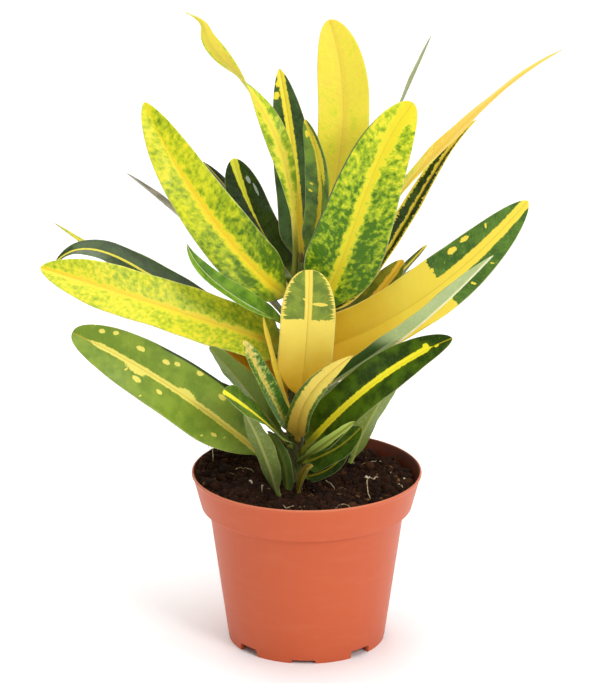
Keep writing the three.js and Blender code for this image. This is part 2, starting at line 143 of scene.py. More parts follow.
def new_piece(name: str, places: Sequence, faces: list, material: Optional[Material] = None) -> Piece:
    """Makes an object of plain vertices and faces.

    Args:
        name: the piece's name.
        places: the vertices in metres.
        faces: the faces, each a list of vertex numbers.
        material: what it is made of, or None for a helper.

    Returns:
        The new object, linked into the scene.
    """
    mesh = bpy.data.meshes.new(name)
    mesh.from_pydata([tuple(p) for p in places], [], faces)
    return dressed(name, mesh, material)


def face_outwards(piece: Piece) -> None:
    """Turns the faces of a closed mesh outwards.

    Args:
        piece: the object whose mesh is turned.
    """
    work = bmesh.new()
    work.from_mesh(piece.data)
    bmesh.ops.recalc_face_normals(work, faces=work.faces)
    work.to_mesh(piece.data)
    work.free()


def baked(piece: Piece) -> Piece:
    """Turns a piece's evaluated modifiers into its plain mesh.

    Args:
        piece: the object with live modifiers.

    Returns:
        The same object, with the result as its mesh and no modifiers.
    """
    depsgraph = bpy.context.evaluated_depsgraph_get()
    mesh = bpy.data.meshes.new_from_object(piece.evaluated_get(depsgraph), depsgraph=depsgraph)
    piece.modifiers.clear()
    piece.data = mesh
    mesh.name = piece.name
    return piece


def tube_parts(centres: np.ndarray, radii: np.ndarray, sides: int, start: int = 0) -> tuple[list, list]:
    """Sweeps a round closed tube along a line of points.

    Args:
        centres: the points.
        radii: the radius at each point.
        sides: corners of each ring.
        start: the number of the first vertex.

    Returns:
        The vertices and the faces.
    """
    ahead = np.gradient(centres, axis=0)
    ahead /= np.linalg.norm(ahead, axis=1, keepdims=True)
    helper = np.array([0.0, 0.0, 1.0]) if abs(ahead[0][2]) < 0.9 else np.array([0.0, 1.0, 0.0])
    places, faces = [], []
    for centre, radius, onward in zip(centres, radii, ahead):
        side = np.cross(helper, onward)
        side /= np.linalg.norm(side)
        helper = np.cross(onward, side)
        for k in range(sides):
            angle = FULL_TURN * k / sides
            places.append(centre + radius * (side * math.cos(angle) + helper * math.sin(angle)))
    last = start + (len(centres) - 1) * sides
    for first in range(start, last, sides):
        for k in range(sides):
            a, b = first + k, first + (k + 1) % sides
            faces.append((a, b, b + sides, a + sides))
    faces.append(tuple(start + k for k in reversed(range(sides))))
    faces.append(tuple(last + k for k in range(sides)))
    return places, faces


class NodeGraph:
    """A node tree, written as short calls."""

    def __init__(self, tree: bpy.types.NodeTree) -> None:
        """Starts on an empty tree."""
        self.tree = tree

    def plug(self, socket: Socket, value: object) -> None:
        """Links a socket, or sets its own value.

        Args:
            socket: the input.
            value: an output to link, or a value, where a colour may leave out its alpha.
        """
        if isinstance(value, Socket):
            self.tree.links.new(value, socket)
        elif isinstance(value, tuple) and len(value) < len(socket.default_value):
            socket.default_value = (*value, 1.0)
        else:
            socket.default_value = value

    def add(self, kind: str, inputs: Optional[dict] = None, **settings: object) -> bpy.types.Node:
        """Adds a node.

        Args:
            kind: its type.
            inputs: what goes into its sockets, by name or number.
            settings: its own properties.

        Returns:
            The node.
        """
        node = self.tree.nodes.new(kind)
        for name, value in settings.items():
            setattr(node, name, value)
        for key, value in (inputs or {}).items():
            self.plug(node.inputs[key], value)
        return node


class ShaderGraph(NodeGraph):
    """A material's node tree."""

    def __init__(self, name: str) -> None:
        """Starts an empty material.

        Args:
            name: the material's name.
        """
        self.material = bpy.data.materials.new(name)
        self.material.use_nodes = True
        super().__init__(self.material.node_tree)
        self.tree.nodes.clear()
        self.surface = self.add("ShaderNodeBsdfPrincipled")
        self.add("ShaderNodeOutputMaterial", {"Surface": self.surface.outputs["BSDF"]})

    def math(self, operation: str, *values: Plugged) -> Socket:
        """Puts one to three values through a Math node."""
        return self.add("ShaderNodeMath", dict(enumerate(values)), operation=operation).outputs[0]

    def times(self, a: Plugged, b: Plugged) -> Socket:
        """Multiplies two values."""
        return self.math("MULTIPLY", a, b)

    def scaled(self, x: Plugged, factor: Plugged, shift: Plugged) -> Socket:
        """Gives x times factor, plus shift."""
        return self.math("MULTIPLY_ADD", x, factor, shift)

    def rise(self, x: Plugged, low: float, high: float, easing: str = "SMOOTHSTEP") -> Socket:
        """Maps a value to 0 at low and 1 at high, and holds it there beyond them."""
        ends = {"Value": x, "From Min": low, "From Max": high}
        return self.add("ShaderNodeMapRange", ends, interpolation_type=easing).outputs["Result"]

    def mix(self, share: Plugged, a: Plugged, b: Plugged) -> Socket:
        """Mixes colour a with the given share of colour b."""
        return self.add("ShaderNodeMix", {0: share, 6: a, 7: b}, data_type="RGBA").outputs[2]

    def tint(self, colour: Plugged, code: str, share: Plugged, strength: float = 1) -> Socket:
        """Lays a screen colour over another colour.

        Args:
            colour: the colour below.
            code: the screen colour.
            share: where it lies, from 0 to 1.
            strength: how well it covers there.

        Returns:
            The mixed colour's socket.
        """
        if strength != 1:
            share = self.times(share, strength)
        return self.mix(share, colour, paint(code))

    def spread(self, vector: Plugged, scale: float, detail: float = 2.0, rough: float = 0.5) -> Socket:
        """Adds a Noise Texture, which runs from 0 to 1."""
        inputs = {"Vector": vector, "Scale": scale, "Detail": detail, "Roughness": rough}
        return self.add("ShaderNodeTexNoise", inputs).outputs[0]

    def sway(self, vector: Plugged, scale: float, detail: float = 2.0, rough: float = 0.5) -> Socket:
        """Adds a Noise Texture that runs from -0.5 to 0.5."""
        return self.math("SUBTRACT", self.spread(vector, scale, detail, rough), 0.5)

    def cells(self, vector: Plugged, scale: float) -> tuple[Socket, list[Socket]]:
        """Gives the distance to the nearest cell's middle, and the cell's three random numbers."""
        outputs = self.add("ShaderNodeTexVoronoi", {"Vector": vector, "Scale": scale}).outputs
        return outputs["Distance"], self.parts(outputs["Color"])

    def join(self, x: Plugged, y: Plugged, z: Plugged) -> Socket:
        """Joins three numbers into one vector."""
        return self.add("ShaderNodeCombineXYZ", {0: x, 1: y, 2: z}).outputs[0]

    def parts(self, vector: Plugged) -> list[Socket]:
        """Splits a vector into its three numbers."""
        return list(self.add("ShaderNodeSeparateXYZ", {0: vector}).outputs)

    def attribute(self, name: str, output: str = "Vector") -> Socket:
        """Reads one of the mesh's own attributes."""
        return self.add("ShaderNodeAttribute", attribute_name=name).outputs[output]

    def place(self) -> Socket:
        """Gives the Object coordinates."""
        return self.add("ShaderNodeTexCoord").outputs["Object"]

    def raise_by(self, height: Plugged, strength: float, distance: float) -> None:
        """Adds a Bump node to the surface, where distance is the height of 1 in metres."""
        bump = self.add("ShaderNodeBump", {"Strength": strength, "Distance": distance, "Height": height})
        self.plug(self.surface.inputs["Normal"], bump.outputs["Normal"])

    def ramp(self, x: Plugged, stops: Sequence[tuple[float, str]]) -> Socket:
        """Adds a Color Ramp.

        Args:
            x: the value.
            stops: the places from 0 to 1 and their screen colours.

        Returns:
            The colour's socket.
        """
        node = self.add("ShaderNodeValToRGB", {0: x})
        elements = node.color_ramp.elements
        while len(elements) < len(stops):
            elements.new(0.5)
        for element, (position, code) in zip(elements, stops):
            element.position = position
            element.color = (*paint(code), 1.0)
        return node.outputs[0]

    def finish(self, colour: Plugged, roughness: Plugged, shine: float = 0.5) -> Material:
        """Sets the surface's own sockets.

        Args:
            colour: the base colour.
            roughness: the roughness.
            shine: the constant specular level.

        Returns:
            The finished material.
        """
        values = {"Base Color": colour, "Roughness": roughness, "Specular IOR Level": shine}
        for name, value in values.items():
            self.plug(self.surface.inputs[name], value)
        return self.material


class Pattern(Enum):
    """How green and yellow share a blade."""

    FLECKED = "green, yellow and all tones between, in flecks along the side veins"
    PARTED = "the foot yellow and the rest green, with a stepped border"
    STRIPED = "green with a yellow midrib"
    PLAIN = "one colour with a paler midrib"


@dataclass(frozen=True)
class LeafFinish:
    """The colours and markings of one blade, measured along and across it.

    cover is the green share at the foot and at the tip, below 0 for none and above 1 for all;
    turn and blur say where along the blade it changes and how gently, and lean is what the half
    on the right has more than the other. rib is the half width of the yellow midrib band at the
    foot and at the tip, in millimetres, ragged is how uneven it is, and it tapers over taper to
    its end at the share ends. fleck is the flecks' size in millimetres, and contrast is how far
    they differ. marks are yellow blotches, each a share along, a place across and its two half
    sizes, and glints are painted white highlights where the wax would shine, given in the same
    way. dashes is how much of the margin is dashed with yellow. halved is the side of the
    underside that is dark, where that begins and how far along it runs, keel is the tone of the
    underside's midrib, which is the foot's where none is given, and mealy is how pale the
    underside's flecks are. shaded_margin gives the side and the reach of a strip along one margin
    that is painted shade in the tone roll. spots is the share of places that have a
    yellow spot, and spot_size is the space between them in millimetres.
    """

    pattern: Pattern = Pattern.STRIPED
    green: str = "69822e"
    deep: str = "3f5c1e"
    lime: str = "b9c42e"
    yellow: str = "e3d238"
    warm: str = "d9b62c"
    back: str = "7c8f4c"
    line: str = "c9a62c"
    cover: tuple[float, float] = (1.8, 1.8)
    turn: float = 0.5
    blur: float = 0.5
    lean: float = 0.0
    rib: tuple[float, float] = (1.0, 0.6)
    ragged: float = 0.4
    ends: float = 2.0
    taper: float = 0.12
    fleck: float = 2.5
    contrast: float = 1.1
    dashes: float = 0.0
    halved: tuple[float, ...] = ()
    keel: str = ""
    mealy: float = 0.12
    shaded_margin: tuple[float, ...] = ()
    roll: str = "34441c"
    spots: float = 0.0
    spot_size: float = 5.0
    marks: tuple[Mark, ...] = ()
    glints: tuple[Mark, ...] = ()
    foot: str = "72802e"
    gloss: float = 0.36
    shine: float = 0.24
    veins: float = 0.4


class BladeGraph(ShaderGraph):
    """A blade's material, drawn on the strap and share attributes of its mesh.

    along and across are in millimetres, reach and side are shares of the length and of the half
    width, and under is 1 on the underside. off is the distance from the midrib, slant follows the
    side veins, and flat and feather are vectors for noise that is even or drawn out along them.
    """

    vein_spacing = 2.1
    halves_apart = 40.0
    margin_tone = "dfdc9a"
    # glint_tone is the pale colour of the painted highlights.
    glint_tone = "cfd8cc"
    meal_tone = "cdd0b4"

    def __init__(self, name: str, look: LeafFinish) -> None:
        """Reads the blade's attributes.

        Args:
            name: the material's name.
            look: its colours and markings.
        """
        super().__init__(name)
        self.look = look
        self.along, self.across, self.seed = self.parts(self.attribute("strap"))
        self.reach, self.side, self.under = self.parts(self.attribute("share"))
        self.off = self.math("ABSOLUTE", self.across)
        self.away = self.math("ABSOLUTE", self.side)
        self.slant = self.scaled(self.off, -0.6, self.along)
        half = self.times(self.math("SIGN", self.across), self.halves_apart)
        drift = self.scaled(self.off, -0.35, self.along)
        self.feather = self.join(drift, self.math("ADD", self.off, half), self.seed)
        self.flat = self.join(self.along, self.across, self.seed)

    def build(self) -> Material:
        """Finishes the upper face and the underside.

        Returns:
            The material.
        """
        look = self.look
        vein = self.rise(self.math("PINGPONG", self.slant, self.vein_spacing), 0.4, 0.0)
        top, green_share = self._pattern(self._level(), self._band())
        top = self._upper_face(top, vein)
        colour = self.mix(self.rise(self.under, 0.4, 0.6), top, self._underside(top, green_share))
        colour = self.tint(colour, look.foot, self.rise(self.reach, 0.15, 0.05), 0.8)
        grain = self.times(self.spread(self.flat, 0.55), 0.8)
        self.raise_by(self.scaled(vein, -0.35, grain), 0.5 * look.veins, 0.0005)
        worn = self.rise(self.spread(self.flat, 0.3, 3.0, 0.6), 0.2, 0.8, "LINEAR")
        rough = self.scaled(self.under, 0.1, self.scaled(worn, 0.24, look.gloss - 0.1))
        return self.finish(colour, rough, look.shine)

    def _pattern(self, level: Socket, band: Socket) -> tuple[Socket, Socket]:
        """Draws the blade's pattern: its colour and its green share."""
        return (self._flecked if self.look.pattern is Pattern.FLECKED else self._two_tone)(level, band)

    def _upper_face(self, top: Socket, vein: Socket) -> Socket:
        """Adds the veins, the margin, the painted margin shade and the painted highlights to the pattern.

        Args:
            top: the pattern's colour.
            vein: 1 on the side veins.

        Returns:
            The upper face's colour.
        """
        look = self.look
        top = self.tint(top, look.lime, vein, 0.1 * look.veins)
        top = self.tint(top, look.line, self.rise(self.off, 0.42, 0.16), 0.5)
        top = self.tint(top, self.margin_tone, self.rise(self.away, 0.955, 0.99), 0.35)
        # Painted shade: a darker strip along one margin.
        if look.shaded_margin:
            top = self.tint(top, look.roll, self._painted_margin_shade())
        # Painted highlights: pale patches laid into the colour where the wax would shine.
        for glint in look.glints:
            top = self.tint(top, self.glint_tone, self.scaled(self._beside(glint), -0.5, 0.5))
        return top

    def _underside(self, top: Socket, green_share: Socket) -> Socket:
        """Turns the upper face's colour into the paler one below.

        Args:
            top: the upper face's colour.
            green_share: how green each place is.

        Returns:
            The underside's colour.
        """
        look = self.look
        back = self.tint(top, look.back, green_share, 0.8)
        mealy = self.rise(self.spread(self.feather, 0.55, 3.0, 0.7), 0.45, 0.8)
        back = self.tint(back, self.meal_tone, mealy, look.mealy)
        if look.halved:
            sign, border, until = look.halved
            dark = self.rise(self.times(self.side, sign), border, border + 0.1)
            back = self.tint(back, look.deep, self.times(dark, self.rise(self.reach, until, until - 0.12)))
        return self.tint(back, look.keel or look.foot, self.rise(self.off, 1.1, 0.5), 0.8)

    def _level(self) -> Socket:
        """Gives the green share that each place of the blade asks for.

        Returns:
            The share's socket, which may run below 0 and above 1.
        """
        look, reach = self.look, self.reach
        low, high = look.cover
        if look.pattern is Pattern.PARTED:
            _, steps = self.cells(self.join(self.times(self.side, 3.2), self.seed, 0.0), 1.0)
            reach = self.scaled(self.math("SUBTRACT", steps[0], 0.5), 0.014, reach)
            reach = self.scaled(self.sway(self.flat, 0.9), 0.02, reach)
        turned = self.rise(reach, look.turn - look.blur, look.turn + look.blur)
        level = self.scaled(turned, high - low, low)
        level = self.scaled(self.side, look.lean / 2, level)
        if look.pattern is Pattern.FLECKED:
            level = self.scaled(self.sway(self.feather, 1 / look.fleck, 2.2, 0.55), look.contrast, level)
            level = self.scaled(self.sway(self.flat, 0.11), 0.9, level)
        return level

    def _band(self) -> Socket:
        """Gives how far inside the yellow band along the midrib each place is.

        Returns:
            Millimetres from the band's edge, above 0 inside it.
        """
        look = self.look
        low, high = look.rib
        width = self.scaled(self.reach, high - low, low)
        width = self.scaled(self.sway(self.flat, 0.4, 3.0, 0.65), 5 * look.ragged, width)
        ended = self.rise(self.reach, look.ends - look.taper, look.ends + 0.03)
        return self.math("SUBTRACT", self.scaled(ended, -2.0 - high, width), self.off)

    def _flecked(self, level: Socket, band: Socket) -> tuple[Socket, Socket]:
        """Colours a blade in all tones from gold to deep green.

        Args:
            level: the green share asked for.
            band: millimetres inside the midrib band.

        Returns:
            The colour and the green share.
        """
        look = self.look
        level = self.scaled(self.rise(band, -2.8, 1.2), -0.75, level)
        colour = self.ramp(level, (
            (0.0, look.warm), (0.22, look.yellow), (0.48, look.lime), (0.76, look.green), (1.0, look.deep)))
        colour = self.tint(colour, look.warm, self.rise(band, -2.2, 1.2), 0.5)
        return colour, self.rise(level, 0.3, 0.75)

    def _two_tone(self, level: Socket, band: Socket) -> tuple[Socket, Socket]:
        """Colours a blade in green and yellow with a clear border.

        Args:
            level: the green share asked for.
            band: millimetres inside the midrib band.

        Returns:
            The colour and the green share.
        """
        look = self.look
        green_share = self.times(self.rise(level, 0.4, 0.6), self.rise(band, 0.3, -0.3))
        for mark in look.marks:
            green_share = self.times(green_share, self._beside(mark))
        if look.spots > 0:
            green_share = self.times(green_share, self._unspotted())
        if look.dashes > 0:
            green_share = self.times(green_share, self._undashed())
        shade = self.rise(self.spread(self.flat, 0.13), 0.35, 0.65)
        green = self.mix(shade, paint(look.deep), paint(look.green))
        green = self.tint(green, look.lime,
                          self.rise(self.spread(self.feather, 0.7, 3.0, 0.65), 0.5, 0.8), 0.22)
        ochre = self.scaled(self.spread(self.flat, 0.06), 0.3, self.reach)
        yellow = self.mix(self.rise(ochre, 0.75, 0.25), paint(look.yellow), paint(look.warm))
        return self.mix(green_share, yellow, green), green_share

    def _undashed(self) -> Socket:
        """Marks the blade outside the short yellow dashes along its margins.

        Returns:
            1 outside the dashes and 0 inside them.
        """
        row = self.join(self.along, self.math("SIGN", self.side), self.seed)
        level = self.scaled(self.spread(row, 1.0, 1.0), 1.0, self.look.dashes - 0.5)
        inner = self.scaled(level, -0.7, 1.08)
        return self.rise(self.math("SUBTRACT", self.away, inner), 0.02, -0.04)

    def _painted_margin_shade(self) -> Socket:
        """Marks the strip along one margin that is painted in shade.

        Returns:
            1 on the painted margin shade and 0 elsewhere.
        """
        side, low, high = self.look.shaded_margin
        strip = self.rise(self.times(self.side, math.copysign(1, side)), abs(side), abs(side) + 0.05)
        strip = self.times(strip, self.rise(self.reach, low, low + 0.1))
        return self.times(strip, self.rise(self.reach, high, high - 0.08))

    def _beside(self, mark: Mark) -> Socket:
        """Marks the blade outside one blotch.

        Args:
            mark: the share along, the place across and the two half sizes.

        Returns:
            0 inside the blotch and 1 outside it.
        """
        reach, side, long, wide = mark
        u = self.scaled(self.reach, 1 / long, -reach / long)
        v = self.scaled(self.side, 1 / wide, -side / wide)
        far = self.scaled(u, u, self.times(v, v))
        return self.rise(self.scaled(self.spread(self.flat, 0.8), 1.6, far), 1.5, 1.9)

    def _unspotted(self) -> Socket:
        """Marks the blade outside its small yellow spots.

        Returns:
            1 outside the spots and 0 inside them.
        """
        where = self.join(self.slant, self.times(self.across, 0.6), self.seed)
        distance, (pick, big, _) = self.cells(where, 1 / self.look.spot_size)
        wobble = self.times(self.sway(self.flat, 1.1), 0.25)
        size = self.math("ADD", self.scaled(big, 0.2, 0.05), wobble)
        inside = self.rise(self.math("SUBTRACT", size, distance), -0.03, 0.03)
        chosen = self.math("LESS_THAN", pick, self.look.spots)
        return self.math("SUBTRACT", 1.0, self.times(inside, chosen))


@dataclass
class LeafPlan:
    """One leaf: where it stands, the points that its midrib passes through, and its blade.

    root is a height on the stem, or a place on the soil. face is the way that the upper face
    looks, twist the degrees that it turns on its way to the tip, fold the degrees that the halves
    rise and wave the millimetres that the margins do. The stalk and the widening and narrowing
    stretches are shares of the length, and a smaller blunt gives a rounder tip.
    """

    name: str
    root: Union[float, Spot]
    points: tuple[Point, ...]
    width: float
    slot: str
    finish: LeafFinish
    face: Point = (0, 0, 1)
    twist: float = 0
    fold: float = 12
    wave: float = 0.8
    stalk: float = 0.13
    opens: float = 0.4
    closes: float = 0.45
    blunt: float = 0.6


FLECKED = LeafFinish(
    pattern=Pattern.FLECKED, green="8da31a", deep="527412", lime="bfc81a", yellow="e4d82a", warm="e8c624",
    back="b4ba45", cover=(0.8, 0.45), rib=(2.2, -0.6), ragged=0.5, line="dcba24", shine=0.18, fleck=3.0)
STRIPED = LeafFinish(rib=(1.4, 0.8), ragged=0.25, spots=0.12)
DEEP = LeafFinish(
    green="364f12", deep="1d310a", lime="6b8632", rib=(1.0, 0.7), ragged=0.2, back="586a36", gloss=0.27,
    shine=0.34)
SUNLIT = LeafFinish(
    pattern=Pattern.FLECKED, green="c4cc30", deep="a6b62a", lime="dcd93c", yellow="eedd46", warm="eccd44",
    back="ebd66a", cover=(0.42, 0.16), contrast=0.9, rib=(1.2, 0.8), line="cfae36", foot="c2b03a", veins=0.9,
    shine=0.18)
PARTED = LeafFinish(
    pattern=Pattern.PARTED, green="86992e", deep="687f28", lime="e0d848", yellow="eed04a", warm="dba81c",
    back="bda850", cover=(-0.6, 1.7), blur=0.008, rib=(1.8, 1.8), spots=0.3, spot_size=3.6, foot="b98f1c")
PLAIN_GREEN = LeafFinish(
    pattern=Pattern.PLAIN, green="618426", deep="40691a", back="788e44", rib=(0.5, 0.3), ragged=0.1)


